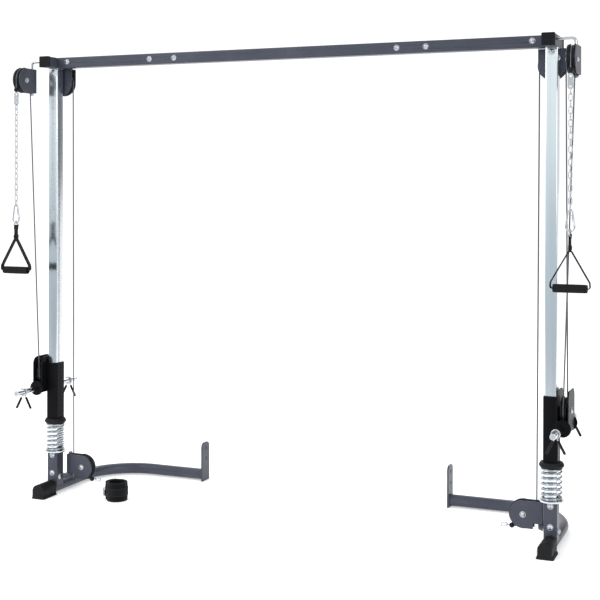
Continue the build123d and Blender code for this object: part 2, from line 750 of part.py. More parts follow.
# ---- steel cable ----
def steel_cable(side):
    """One cable from the top ball stop to the low ball stop, laid over and under its four pulleys."""
    top = axle_plane(side, "top").origin
    low = axle_plane(side, "low").origin
    crown = crown_plane(side).origin
    carriage = carriage_plane(side).origin
    front = Vector(0, -GROOVE_R, 0)
    out = Vector(side * GROOVE_R, 0, 0)
    up = Vector(0, 0, GROOVE_R)
    drop = Vector(0, 0, GAP)
    inwards = Vector(-side * GAP, 0, 0)
    into_ball = BALL_R - 1
    with BuildPart() as cable:
        rod(top + front - drop, top_ball(side) + Vector(0, 0, into_ball), CABLE_R)
        arc_of_wire(top, front, up, 180, CABLE_R)
        rod(top - front - drop, carriage + front + drop, CABLE_R)
        arc_of_wire(carriage, front, -up, 180, CABLE_R)
        rod(carriage - front + drop, crown + out - drop, CABLE_R)
        arc_of_wire(crown, out, up, 180, CABLE_R)
        rod(crown - out - drop, low + out + drop, CABLE_R)
        arc_of_wire(low, out, -up, 90, CABLE_R)
        rod(low - up + inwards, low_ball(side) + Vector(side * into_ball, 0, 0), CABLE_R)
    return cable


# ---- handles ----
def ball_stop(side):
    """Rubber ball that stops the cable at the pulley, and the flat steel eye below it."""
    centre = top_ball(side)
    top = centre.Z - BALL_R - GAP
    with BuildPart() as stop:
        ball_with_bore(centre, Vector(0, 0, 1))
        with BuildSketch(Plane((centre.X, centre.Y, (top + EYE_Z) / 2), x_dir=(1, 0, 0), z_dir=(0, -1, 0))):
            RectangleRounded(EYE_WIDE, top - EYE_Z, EYE_WIDE / 2 - 0.5)
            with Locations((0, (top - EYE_Z) / 2 - EYE_WIDE / 2)):
                Circle(EYE_HOLE_R, mode=Mode.SUBTRACT)
            with Locations((0, EYE_WIDE / 2 - (top - EYE_Z) / 2)):
                Circle(EYE_HOLE_R, mode=Mode.SUBTRACT)
        extrude(amount=EYE_THICK / 2, both=True)
    return stop


def link_level(index):
    """Height of a chain link's middle; the first one hangs in the eye's lower hole."""
    first = EYE_Z + EYE_WIDE / 2 - EYE_HOLE_R + LINK_WIRE_R / 2 - LINK_PITCH / 2
    return first - index * LINK_PITCH


def chain(side):
    """Straight welded chain; each link is turned a quarter from the one above."""
    hook = top_ball(side)
    half = LINK_WIDE / 2 - LINK_WIRE_R
    leg = (LINK_PITCH + GAP) / 2 + LINK_WIRE_R - half
    with BuildPart() as chain:
        for index in range(LINKS):
            arm = Vector(half, 0, 0) if index % 2 else Vector(0, half, 0)
            middle = Vector(hook.X, hook.Y, link_level(index))
            for way in (-1, 1):
                straight = middle + arm * way
                rod(straight - Vector(0, 0, leg), straight + Vector(0, 0, leg), LINK_WIRE_R)
                end = Vector(0, 0, way)
                arc_of_wire(middle + end * leg, arm, end, 180, LINK_WIRE_R)
    return chain


def hook_top():
    """Height of the carabiner's upper wire, inside the last link."""
    return link_level(LINKS - 1) - LINK_PITCH / 2 + CARABINER_WIRE_R


def hook_foot():
    """Height of the carabiner's lower wire."""
    return hook_top() - CARABINER_TOP_R - CARABINER_LONG - CARABINER_LOW_R


def carabiner(side):
    """The carabiner, and the three-cornered ring that hangs in it for the webbing."""
    hook = top_ball(side)
    top = Plane((hook.X, hook.Y, hook_top() - CARABINER_TOP_R), x_dir=(1, 0, 0), z_dir=(0, -1, 0))
    foot = Plane((hook.X, hook.Y, hook_foot()), x_dir=(0, 1, 0), z_dir=(1, 0, 0))
    with BuildPart() as carabiner:
        pear_ring(top, CARABINER_TOP_R, CARABINER_LOW_R, CARABINER_LONG, CARABINER_WIRE_R)
        three_corner_ring(foot, RING_APEX, -RING_BAR, RING_HALF, RING_CORNER_R, RING_WIRE_R)
    return carabiner


def handle_strap(side):
    """Webbing round the ring's bar, sewn together, then spread in a triangle through the grip."""
    hook = top_ball(side)
    wire = hook_foot() - RING_BAR
    loop_r = RING_WIRE_R + GAP
    sewn = wire - APEX_Z
    right = [(GRIP_CORNER, GRIP_Z), (GRIP_CORNER - GRIP_LEAN, GRIP_Z + GRIP_SIDE)]
    left = [(-x, z) for x, z in reversed(right)]
    with BuildPart() as strap:
        with BuildSketch(Plane((hook.X, hook.Y, 0), x_dir=(1, 0, 0), z_dir=(0, -1, 0))):
            with BuildLine():
                FilletPolyline(*right, (0, APEX_Z + APEX_RISE), *left, radius=STRAP_ROUND, close=True)
            make_face()
            offset(amount=STRAP_THICK / 2)
            offset(amount=-STRAP_THICK, mode=Mode.SUBTRACT)
            with Locations((0, APEX_Z + sewn / 2)):
                Rectangle(2 * STRAP_THICK + 2 * loop_r, sewn)
            with Locations((0, wire)):
                Circle(loop_r + STRAP_THICK)
                Circle(loop_r, mode=Mode.SUBTRACT)
        extrude(amount=STRAP_WIDE / 2, both=True)
    return strap


def handle_grip(side):
    """Foam-sleeved tube that turns on the webbing."""
    hook = top_ball(side)
    with BuildPart() as grip:
        with BuildSketch(Plane((hook.X - GRIP_LONG / 2, hook.Y, GRIP_Z), z_dir=(1, 0, 0))):
            Circle(GRIP_R)
            Circle(GRIP_BORE_R, mode=Mode.SUBTRACT)
        extrude(amount=GRIP_LONG)
    return grip


def low_hook(side):
    """Ball stop, wire eye and small carabiner at the cable's low end."""
    centre = low_ball(side)
    inward = Vector(-side, 0, 0)
    eye = centre + inward * (BALL_R + LOW_EYE_R + LOW_EYE_WIRE_R - 1)
    ring = eye + inward * (LOW_EYE_R - LOW_EYE_WIRE_R - LOW_RING_WIRE_R - GAP + LOW_RING_R[0])
    with BuildPart() as hook:
        ball_with_bore(centre, -inward)
        arc_of_wire(eye, inward * LOW_EYE_R, Vector(0, 1, 0), 360, LOW_EYE_WIRE_R)
        lying = Plane(ring, x_dir=(0, 0, 1), z_dir=Vector(0, 0, 1).cross(-inward))
        pear_ring(lying, *LOW_RING_R, LOW_RING_LONG, LOW_RING_WIRE_R)
    return hook


def ankle_strap():
    """Padded cuff standing on the floor, with a webbing band, a sewn tab and a D-ring."""
    with BuildPart() as cuff:
        with BuildSketch(Plane((CUFF_X, CUFF_Y, 0))):
            Circle(CUFF_R)
        extrude(amount=CUFF_TALL)
        with BuildSketch(Plane((CUFF_X, CUFF_Y, CUFF_TALL / 2 - BAND_WIDE / 2))):
            Circle(CUFF_R + BAND_THICK)
        extrude(amount=BAND_WIDE)
        with BuildSketch(Plane((CUFF_X, CUFF_Y, 0))):
            Circle(CUFF_R - CUFF_WALL)
        extrude(amount=CUFF_TALL, mode=Mode.SUBTRACT)
        facing = Vector(-cos(radians(RING_ANGLE)), -sin(radians(RING_ANGLE)), 0)
        middle = Vector(CUFF_X, CUFF_Y, CUFF_TALL / 2)
        tab = Plane(middle + facing * (CUFF_R + BAND_THICK - 1), x_dir=(0, 0, 1), z_dir=facing)
        with BuildSketch(tab):
            RectangleRounded(TAB_TALL, TAB_WIDE, 2)
        extrude(amount=TAB_THICK)
        bore = tab.origin + facing * (TAB_THICK / 2)
        with BuildSketch(Plane(bore - Vector(0, 0, TAB_TALL), z_dir=(0, 0, 1))):
            Circle(RING_WIRE_R + GAP)
        extrude(amount=2 * TAB_TALL, mode=Mode.SUBTRACT)
        half = RING_TALL / 2
        along = facing.cross(Vector(0, 0, 1))
        rod(bore - Vector(0, 0, half), bore + Vector(0, 0, half), RING_WIRE_R)
        arc_of_wire(bore, Vector(0, 0, half), along, 180, RING_WIRE_R)
    return cuff


# ---- write every piece ----
os.makedirs("parts", exist_ok=True)

save(top_beam(), "top_beam")
save(beam_stubs(), "beam_stubs")
save(stub_caps(), "stub_caps")
save(rubber_feet(), "rubber_feet")
save(spring_seats(), "spring_seats")
save(bumper_springs(), "bumper_springs")
save(hinge_rods(), "hinge_rods")
save(crown_housings(), "crown_housings")
save(frame_bolts(), "frame_bolts")
save(ankle_strap(), "ankle_strap")

for name, side in SIDES.items():
    save(column(side), f"{name}_column")
    save(base_tube(side), f"{name}_base_tube")
    save(base_post(side), f"{name}_base_post")
    save(steel_cable(side), f"{name}_cable")
    save(pulley(crown_plane(side), HUB_LONG), f"{name}_crown_pulley")
    save(pulley(carriage_plane(side), BRACKET_HUB_LONG), f"{name}_carriage_pulley")
    save(carriage_sleeve(side), f"{name}_carriage_sleeve")
    save(carriage_bumper(side), f"{name}_carriage_bumper")
    save(pulley_bracket(side), f"{name}_pulley_bracket")
    save(carriage_axle(side), f"{name}_carriage_axle")
    save(plate_pegs(side), f"{name}_plate_pegs")
    save(spring_clip(side, -1), f"{name}_front_clip")
    save(spring_clip(side, 1), f"{name}_rear_clip")
    for which in ("top", "low"):
        save(swivel_housing(side, which), f"{name}_{which}_swivel_housing")
        save(swivel_axle(side, which), f"{name}_{which}_swivel_axle")
        save(pulley(axle_plane(side, which), HUB_LONG), f"{name}_{which}_swivel_pulley")
    save(ball_stop(side), f"{name}_ball_stop")
    save(chain(side), f"{name}_chain")
    save(carabiner(side), f"{name}_carabiner")
    save(handle_strap(side), f"{name}_handle_strap")
    save(handle_grip(side), f"{name}_handle_grip")
    save(low_hook(side), f"{name}_low_hook")
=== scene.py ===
from math import asin, cos, pi, radians, sin, tau

import bmesh
import bpy
from mathutils import Euler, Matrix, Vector


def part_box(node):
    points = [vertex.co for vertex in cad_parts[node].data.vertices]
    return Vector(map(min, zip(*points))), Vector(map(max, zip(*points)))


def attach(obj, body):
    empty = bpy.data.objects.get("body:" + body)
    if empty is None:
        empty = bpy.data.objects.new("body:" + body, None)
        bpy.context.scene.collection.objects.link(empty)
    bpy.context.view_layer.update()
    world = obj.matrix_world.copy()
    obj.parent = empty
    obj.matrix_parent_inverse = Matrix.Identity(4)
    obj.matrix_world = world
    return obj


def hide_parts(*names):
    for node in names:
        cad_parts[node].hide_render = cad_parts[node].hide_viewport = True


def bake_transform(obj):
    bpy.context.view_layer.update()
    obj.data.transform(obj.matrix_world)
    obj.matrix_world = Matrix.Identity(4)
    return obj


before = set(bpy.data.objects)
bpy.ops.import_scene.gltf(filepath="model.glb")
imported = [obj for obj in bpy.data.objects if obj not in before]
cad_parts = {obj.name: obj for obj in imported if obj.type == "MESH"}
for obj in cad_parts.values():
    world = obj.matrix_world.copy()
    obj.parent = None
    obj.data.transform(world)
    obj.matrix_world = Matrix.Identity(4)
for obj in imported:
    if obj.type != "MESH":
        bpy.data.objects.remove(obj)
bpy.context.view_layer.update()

X, Y, Z = Vector((1, 0, 0)), Vector((0, 1, 0)), Vector((0, 0, 1))
SIDES = {"left": -1, "right": 1}

# Sizes in metres that the frame's boxes don't give
GROOVE_R = 0.054
CABLE_R = 0.003
BOLT_R = 0.006
HEAD_R = 0.011
HEAD_TALL = 0.007
NUT_R = 0.0105
GAP = 0.0004
ARM_X = 0.598
ARM_BOLTS = 0.128
ARM_STUD = 0.035
END_BOLT_X = 1.110
END_BOLT_UP = 0.004
TOP_FRONT_BOLT_Z = 2.017
TOP_SIDE_BOLT_Z = 1.994
POST_FRONT_BOLTS_Z = (0.183, 0.098)
POST_SIDE_BOLT_Y = -0.005
POST_SIDE_BOLT_Z = 0.078
HOUSING_HALF = 0.019
BRACKET_HALF_WIDE = 0.025
SPRING_R = 0.040
BALL_R = 0.011
EYE_THICK = 0.005
EYE_HOLE_R = 0.005
LINK_WIRE_R = 0.002
RING_WIRE_R = 0.0025
LINKS = 19
APEX_Z = 1.222
CUFF_X = -0.838
CUFF_Y = -0.152
RING_ANGLE = 55
BASE_Z = 0.029
BASE_R = 0.026
PLATE_WIDE = 0.075
PLATE_THICK = 0.008
FLOOR_HALF = 300.0
CAD_EDGE = 0.0008


# ---- mesh building ----
class Shape:
    """Collects vertices, faces and UVs in metres, then becomes one object."""

    def __init__(self):
        self.verts = []
        self.faces = []
        self.uvs = []

    def grid(self, rows, closed_rows, closed_cols, lengths=None):
        """Joins rows of points with quads; lengths gives (along, across) distances for the UVs."""
        base = len(self.verts)
        count = len(rows[0])
        for row in rows:
            self.verts.extend(row)
        for i in range(len(rows) if closed_rows else len(rows) - 1):
            for j in range(count if closed_cols else count - 1):
                next_i = (i + 1) % len(rows)
                next_j = (j + 1) % count
                self.faces.append([base + i * count + j, base + i * count + next_j,
                                   base + next_i * count + next_j, base + next_i * count + j])
                if lengths:
                    u0, u1, v0, v1 = lengths[0][i], lengths[0][i + 1], lengths[1][j], lengths[1][j + 1]
                    self.uvs.append([(u0, v0), (u0, v1), (u1, v1), (u1, v0)])
                else:
                    self.uvs.append([(0, 0)] * 4)

    def cap(self, start, count, flip):
        ring = list(range(start, start + count))
        self.faces.append(ring[::-1] if flip else ring)
        self.uvs.append([(0, 0)] * count)

    def lathe(self, centre, axis, profile, segments=64):
        """Turns a profile of (radius, height) about an axis; an item that ends in "hex" is six-sided."""
        across = axis.orthogonal().normalized()
        other = axis.cross(across)
        rows = []
        for point in profile:
            row = []
            for k in range(segments):
                turn = tau * k / segments
                r = point[0]
                if len(point) == 3:
                    r /= cos((turn + pi / 6) % (pi / 3) - pi / 6) / cos(pi / 6)
                row.append(centre + across * (r * cos(turn)) + other * (r * sin(turn)) + axis * point[1])
            rows.append(row)
        self.grid(rows, False, True)

    def sweep(self, path, section, side_axis, closed=False):
        """Carries a closed section of (u, v) points along a path; u lies along side_axis."""
        count = len(path)
        rows = []
        along = [0.0]
        for i, point in enumerate(path):
            before = path[i - 1] if closed or i else point
            after = path[(i + 1) % count] if closed or i < count - 1 else point
            tangent = (after - before).normalized()
            n = (side_axis - tangent * side_axis.dot(tangent)).normalized()
            b = tangent.cross(n)
            rows.append([point + n * u + b * v for u, v in section])
            step = (path[(i + 1) % count] - point).length
            along.append(along[-1] + step)
        around = [0.0]
        for j in range(len(section)):
            a, b = Vector(section[j]), Vector(section[(j + 1) % len(section)])
            around.append(around[-1] + (b - a).length)
        start = len(self.verts)
        self.grid(rows, closed, True, (along, around))
        if not closed:
            self.cap(start, len(section), True)
            self.cap(start + (count - 1) * len(section), len(section), False)

    def tube(self, path, radius, side_axis, sides=16, closed=False):
        section = [(radius * cos(tau * k / sides), radius * sin(tau * k / sides)) for k in range(sides)]
        self.sweep(path, section, side_axis, closed)

    def object(self, name, material, body=None, stands_for=(), smooth=35, bevel=0.0):
        mesh = bpy.data.meshes.new(name)
        mesh.from_pydata(self.verts, [], self.faces)
        layer = mesh.uv_layers.new(name="lengths")
        flat = [value for face in self.uvs for uv in face for value in uv]
        layer.data.foreach_set("uv", flat)
        mesh.materials.append(material)
        mesh.update()
        obj = bpy.data.objects.new(name, mesh)
        bpy.context.scene.collection.objects.link(obj)
        recalculate(obj)
        if bevel:
            add_bevel(obj, bevel)
        smooth_by_angle(obj, smooth)
        if body:
            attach(obj, body)
        if stands_for:
            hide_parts(*stands_for)
        return obj


def recalculate(obj):
    """Turns every face outwards."""
    bm = bmesh.new()
    bm.from_mesh(obj.data)
    bmesh.ops.recalc_face_normals(bm, faces=bm.faces)
    bm.to_mesh(obj.data)
    bm.free()


def smooth_by_angle(obj, angle):
    obj.data.polygons.foreach_set("use_smooth", [True] * len(obj.data.polygons))
    obj.data.set_sharp_from_angle(angle=radians(angle))


def add_bevel(obj, width):
    bevel = obj.modifiers.new("edges", "BEVEL")
    bevel.width = width
    bevel.segments = 2
    bevel.limit_method = "ANGLE"
    bevel.angle_limit = radians(32)
    bevel.harden_normals = False


def straight(start, end, steps=1):
    return [start.lerp(end, i / steps) for i in range(steps + 1)]


def arc(centre, arm, onward, angle, steps):
    """Points on a circle about the centre: they start at centre + arm and head onward."""
    onward = onward.normalized() * arm.length
    turns = [radians(angle) * i / steps for i in range(steps + 1)]
    return [centre + arm * cos(t) + onward * sin(t) for t in turns]


def rounded(points, radius, steps=8):
    """Closed polygon path with its corners rounded."""
    path = []
    count = len(points)
    for i, corner in enumerate(points):
        into = (corner - points[i - 1]).normalized()
        away = (points[(i + 1) % count] - corner).normalized()
        half = into.angle(away) / 2
        reach = radius * sin(half) / cos(half)
        start = corner - into * reach
        inside = (away - into).normalized()
        centre = corner + inside * (radius / cos(half))
        path += arc(centre, start - centre, into, 2 * half * 180 / pi, steps)
    return path


def middle(node):
    low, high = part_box(node)
    return (low + high) / 2


def outer_x(node, side):
    """X of the node's face that is further from the machine's middle."""
    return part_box(node)[0 if SIDES[side] < 0 else 1].x


def new_material(name):
    material = bpy.data.materials.new(name)
    material.use_nodes = True
    tree = material.node_tree
    return material, tree, tree.nodes["Principled BSDF"]


def node(tree, kind, settings=(), **inputs):
    made = tree.nodes.new(kind)
    for key, value in settings:
        setattr(made, key, value)
    for key, value in inputs.items():
        made.inputs[key.replace("_", " ")].default_value = value
    return made


def noise(tree, coords, scale, detail=4.0, roughness=0.55):
    made = node(tree, "ShaderNodeTexNoise", Scale=scale, Detail=detail, Roughness=roughness)
    tree.links.new(coords, made.inputs["Vector"])
    return made.outputs["Fac"]


def ramp(tree, factor, stops):
    made = node(tree, "ShaderNodeValToRGB")
    while len(made.color_ramp.elements) < len(stops):
        made.color_ramp.elements.new(0.5)
    for element, (place, color) in zip(made.color_ramp.elements, stops):
        element.position = place
        element.color = (*color, 1)
    tree.links.new(factor, made.inputs["Fac"])
    return made.outputs["Color"]


def map_range(tree, factor, low, high, from_low=0.0, from_high=1.0):
    made = node(tree, "ShaderNodeMapRange")
    made.inputs["From Min"].default_value = from_low
    made.inputs["From Max"].default_value = from_high
    made.inputs["To Min"].default_value = low
    made.inputs["To Max"].default_value = high
    tree.links.new(factor, made.inputs["Value"])
    return made.outputs["Result"]


def bump(tree, shader, height, strength, distance):
    made = node(tree, "ShaderNodeBump", Strength=strength, Distance=distance)
    tree.links.new(height, made.inputs["Height"])
    tree.links.new(made.outputs["Normal"], shader.inputs["Normal"])


def surface(name, dark, light, rough, grain, bump_depth):
    """A dull moulded finish with drifting colour, drifting roughness and a fine grain."""
    material, tree, shader = new_material(name)
    coords = node(tree, "ShaderNodeTexCoord").outputs["Object"]
    drift = noise(tree, coords, 9.0, 3.0)
    tree.links.new(ramp(tree, drift, [(0.3, dark), (0.7, light)]), shader.inputs["Base Color"])
    fine = noise(tree, coords, grain, 5.0, 0.6)
    tree.links.new(map_range(tree, fine, rough[0], rough[1], 0.3, 0.7), shader.inputs["Roughness"])
    shader.inputs["Specular IOR Level"].default_value = 0.2
    bump(tree, shader, fine, 0.35, bump_depth)
    return material


def painted(name, dark, light, worn, metallic, specular):
    """Powder coat: orange-peel bump, metal flake, and slightly brighter worn edges."""
    material, tree, shader = new_material(name)
    coords = node(tree, "ShaderNodeTexCoord").outputs["Object"]
    drift = noise(tree, coords, 6.0, 3.0)
    flake = noise(tree, coords, 1400.0, 2.0)
    base = ramp(tree, drift, [(0.3, dark), (0.7, light)])
    soft = node(tree, "ShaderNodeBevel", [("samples", 4)], Radius=0.0025)
    geometry = node(tree, "ShaderNodeNewGeometry")
    facing = node(tree, "ShaderNodeVectorMath", [("operation", "DOT_PRODUCT")])
    tree.links.new(soft.outputs["Normal"], facing.inputs[0])
    tree.links.new(geometry.outputs["Normal"], facing.inputs[1])
    edge = map_range(tree, facing.outputs["Value"], 0.55, 0.0, 0.82, 0.97)
    mix = node(tree, "ShaderNodeMix", [("data_type", "RGBA")])
    mix.inputs["B"].default_value = (*worn, 1)
    tree.links.new(edge, mix.inputs["Factor"])
    tree.links.new(base, mix.inputs["A"])
    tree.links.new(mix.outputs["Result"], shader.inputs["Base Color"])
    tree.links.new(map_range(tree, flake, 0.3, 0.46, 0.35, 0.65), shader.inputs["Roughness"])
    shader.inputs["Metallic"].default_value = metallic
    shader.inputs["Specular IOR Level"].default_value = specular
    shader.inputs["Coat Weight"].default_value = specular / 3
    shader.inputs["Coat Roughness"].default_value = 0.2
    peel = noise(tree, coords, 420.0, 2.0)
    bump(tree, shader, peel, 0.25, 0.0004)
    return material


def plated(name, color, rough, streak, scale, relief=0.05):
    """Polished or zinc-plated metal whose tint and gloss drift, along its length where streak is small."""
    material, tree, shader = new_material(name)
    coords = node(tree, "ShaderNodeTexCoord").outputs["Object"]
    stretched = node(tree, "ShaderNodeMapping")
    stretched.inputs["Scale"].default_value = streak
    tree.links.new(coords, stretched.inputs["Vector"])
    lines = noise(tree, stretched.outputs["Vector"], scale, 3.0)
    tint = tuple(0.9 * c for c in color)
    tree.links.new(ramp(tree, lines, [(0.35, tint), (0.65, color)]), shader.inputs["Base Color"])
    tree.links.new(map_range(tree, lines, rough[0], rough[1], 0.3, 0.7), shader.inputs["Roughness"])
    shader.inputs["Metallic"].default_value = 1.0
    bump(tree, shader, lines, relief, 0.0001)
    return material


def woven(name, dark, light, pitch, depth):
    """Webbing whose threads run along and across its length."""
    material, tree, shader = new_material(name)
    coords = node(tree, "ShaderNodeTexCoord").outputs["UV"]
    waves = []
    for direction in ("X", "Y"):
        settings = [("wave_type", "BANDS"), ("bands_direction", direction)]
        wave = node(tree, "ShaderNodeTexWave", settings, Scale=1 / pitch / 3.2, Distortion=0.4)
        tree.links.new(coords, wave.inputs["Vector"])
        waves.append(wave.outputs["Fac"])
    cross = node(tree, "ShaderNodeMath", [("operation", "MULTIPLY")])
    tree.links.new(waves[0], cross.inputs[0])
    tree.links.new(waves[1], cross.inputs[1])
    threads = cross.outputs["Value"]
    tree.links.new(ramp(tree, threads, [(0.1, dark), (0.8, light)]), shader.inputs["Base Color"])
    tree.links.new(map_range(tree, threads, 0.95, 0.7), shader.inputs["Roughness"])
    shader.inputs["Specular IOR Level"].default_value = 0.15
    shader.inputs["Sheen Weight"].default_value = 0.08
    bump(tree, shader, threads, 0.8, depth)
    return material


def foam(name, dark, light, cell, depth):
    material, tree, shader = new_material(name)
    coords = node(tree, "ShaderNodeTexCoord").outputs["Object"]
    cells = node(tree, "ShaderNodeTexVoronoi", Scale=1 / cell)
    tree.links.new(coords, cells.inputs["Vector"])
    pores = cells.outputs["Distance"]
    tree.links.new(ramp(tree, pores, [(0.1, dark), (0.6, light)]), shader.inputs["Base Color"])
    tree.links.new(map_range(tree, pores, 0.95, 0.75), shader.inputs["Roughness"])
    shader.inputs["Specular IOR Level"].default_value = 0.15
    bump(tree, shader, pores, 0.6, depth)
    return material


def coated_cable(name):
    """Dark plastic over a laid steel rope: slanted strands show faintly along it."""
    material, tree, shader = new_material(name)
    coords = node(tree, "ShaderNodeTexCoord").outputs["UV"]
    settings = [("wave_type", "BANDS"), ("bands_direction", "DIAGONAL")]
    wave = node(tree, "ShaderNodeTexWave", settings, Scale=90.0, Distortion=0.2)
    tree.links.new(coords, wave.inputs["Vector"])
    strands = ramp(tree, wave.outputs["Fac"], [(0.2, (0.03, 0.03, 0.034)), (0.8, (0.085, 0.085, 0.095))])
    tree.links.new(strands, shader.inputs["Base Color"])
    tree.links.new(map_range(tree, wave.outputs["Fac"], 0.3, 0.42), shader.inputs["Roughness"])
    shader.inputs["Coat Weight"].default_value = 0.6
    bump(tree, shader, wave.outputs["Fac"], 0.2, 0.0002)
    return material


UNIFORM = (1.0, 1.0, 1.0)
ALONG = (1.0, 1.0, 0.02)
SLATE = painted("slate", (0.05, 0.054, 0.073), (0.067, 0.072, 0.094), (0.14, 0.145, 0.17),
                0.3, 0.26)
BLACK_PAINT = painted("black_coat", (0.0028, 0.0028, 0.0034), (0.005, 0.005, 0.006),
                      (0.03, 0.03, 0.033), 0.0, 0.07)
CHROME = plated("chrome_tube", (0.82, 0.86, 0.88), (0.14, 0.19), ALONG, 24.0, 0.015)
POLISHED = plated("polished_chrome", (0.72, 0.74, 0.76), (0.08, 0.16), UNIFORM, 90.0)
# painted shade: the springs' chrome is darker than the other chrome, standing in for the shade around the
# springs at each column's foot
SPRING_PAINTED_SHADE = plated("spring_chrome_painted_shade", (0.4, 0.43, 0.46), (0.1, 0.2), UNIFORM, 90.0)
ZINC = plated("zinc", (0.56, 0.57, 0.59), (0.2, 0.34), UNIFORM, 120.0)
RUBBER = surface("rubber", (0.005, 0.005, 0.006), (0.010, 0.010, 0.011), (0.5, 0.72), 700.0,
                 0.0003)
NYLON = surface("pulley_nylon", (0.005, 0.005, 0.006), (0.009, 0.009, 0.010), (0.34, 0.5),
                500.0, 0.0002)
CABLE = coated_cable("cable_coating")
WEBBING = woven("webbing", (0.003, 0.003, 0.004), (0.017, 0.017, 0.018), 0.0016, 0.0006)
NEOPRENE = woven("cuff_fabric", (0.0018, 0.0018, 0.002), (0.006, 0.006, 0.0065), 0.0011,
                 0.0003)
THREAD = surface("thread", (0.05, 0.05, 0.052), (0.09, 0.09, 0.093), (0.6, 0.8), 900.0,
                 0.0001)
FOAM = foam("grip_foam", (0.004, 0.004, 0.004), (0.013, 0.013, 0.014), 0.0016, 0.0005)


# ---- carried-over CAD pieces ----
def finish_cad(name, material):
    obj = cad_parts[name]
    obj.data.materials.clear()
    obj.data.materials.append(material)
    weld = obj.modifiers.new("weld", "WELD")
    weld.merge_threshold = 0.00002
    add_bevel(obj, CAD_EDGE)


CAD_FINISH = {
    "top_beam": SLATE,
    "beam_stubs": SLATE,
    "stub_caps": RUBBER,
    "rubber_feet": RUBBER,
    "spring_seats": POLISHED,
    "crown_housings": SLATE,
    "hinge_rods": ZINC,
}
SIDE_CAD_FINISH = {
    "column": CHROME,
    "base_tube": SLATE,
    "base_post": SLATE,
    "carriage_sleeve": BLACK_PAINT,
    "carriage_bumper": RUBBER,
    "pulley_bracket": BLACK_PAINT,
    "plate_pegs": POLISHED,
    "top_swivel_housing": SLATE,
    "low_swivel_housing": SLATE,
}
for name, material in CAD_FINISH.items():
    finish_cad(name, material)
for side in SIDES:
    for name, material in SIDE_CAD_FINISH.items():
        finish_cad(f"{side}_{name}", material)


# ---- steel cables ----
def cable(side):
    """The cable in pieces that follow the swivels and the carriage, with a tail down to the handle's ball
    stop.
    """
    outward = X * SIDES[side]
    top, low = middle(f"{side}_top_swivel_pulley"), middle(f"{side}_low_swivel_pulley")
    crown, carriage = middle(f"{side}_crown_pulley"), middle(f"{side}_carriage_pulley")
    ball_top = Vector((top.x, top.y - GROOVE_R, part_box(f"{side}_ball_stop")[1].z - 0.001))
    front, out = Y * -GROOVE_R, outward * GROOVE_R
    low_ball = Vector((outer_x(f"{side}_low_hook", side) - outward.x * 0.001, low.y, low.z - GROOVE_R))
    parted = (top - front).lerp(carriage + front, 0.22)
    whole = f"{side}_cable"

    def piece(name, path, side_axis, body=None):
        shape = Shape()
        shape.tube(path, CABLE_R, side_axis, 14)
        return shape.object(f"{side}_cable_{name}", CABLE, body, [whole])

    piece("top_wrap", arc(top, front, Z, 180, 48), X, f"{side}_top_swivel")
    piece("carriage_wrap", arc(carriage, front, -Z, 180, 48), X, f"{side}_carriage")
    piece("crown_wrap", arc(crown, out, Z, 180, 48), Y, "frame")
    round_low = arc(low, out, -Z, 90, 24)
    piece("low_wrap", round_low + straight(round_low[-1], low_ball)[1:], Y, f"{side}_low_swivel")
    tail = piece("tail", straight(top + front, ball_top, 40), X)
    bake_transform(tail)
    upper = piece("front_upper", straight(top - front, parted, 40), X)
    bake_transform(upper)
    lower = piece("front_lower", straight(parted, carriage + front, 60), X)
    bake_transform(lower)
    rear = piece("rear", straight(crown + out, carriage - front, 60), Y)
    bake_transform(rear)
    inner = piece("inner", straight(crown - out, low + out, 80), Y)
    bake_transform(inner)


# ---- pulleys ----
def pulley(side, name, body, axis):
    """Nylon pulley with a V groove, a thin ribbed web and a steel bearing."""
    cad = f"{side}_{name}"
    low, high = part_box(cad)
    centre = (low + high) / 2
    rim = max(high - low) / 2
    hub = abs((high - low).dot(axis)) / 2
    half = 0.012
    web = 0.005
    seat = [(GROOVE_R - CABLE_R * cos(radians(a)), -CABLE_R * sin(radians(a))) for a in range(60, -61, -15)]
    profile = [(0.0118, -hub), (0.0155, -hub), (0.0162, -hub + 0.0008), (0.0166, -web), (rim - 0.0155, -web),
               (rim - 0.0138, -half + 0.0012), (rim - 0.0128, -half), (rim - 0.001, -half)]
    profile += [(rim, -half + 0.001), (rim, -half + 0.0022), (rim - 0.0006, -half + 0.003)] + seat
    profile += [(r, -h) for r, h in reversed(profile[:11])]
    body_shape = Shape()
    body_shape.lathe(centre, axis, profile + [profile[0]], 96)
    across = axis.orthogonal().normalized()
    for k in range(8):
        turn = tau * k / 8
        spoke = across * cos(turn) + axis.cross(across) * sin(turn)
        rib = [(-0.009, -0.0012), (0.009, -0.0012), (0.009, 0.0012), (-0.009, 0.0012)]
        body_shape.sweep(straight(centre + spoke * 0.016, centre + spoke * (rim - 0.0135)), rib, axis)
    body_shape.object(f"{cad}_wheel", NYLON, body, [cad], bevel=0.0003)
    bearing = Shape()
    for way in (-1, 1):
        face = hub - 0.0004
        ring = [(0.0062, face - 0.003), (0.0062, face), (0.0078, face), (0.0079, face - 0.0006)]
        ring += [(0.0102, face - 0.0006), (0.0103, face), (0.0117, face), (0.0117, face - 0.003)]
        bearing.lathe(centre, axis * way, ring + [ring[0]], 48)
    bearing.object(f"{cad}_bearing", ZINC, body)


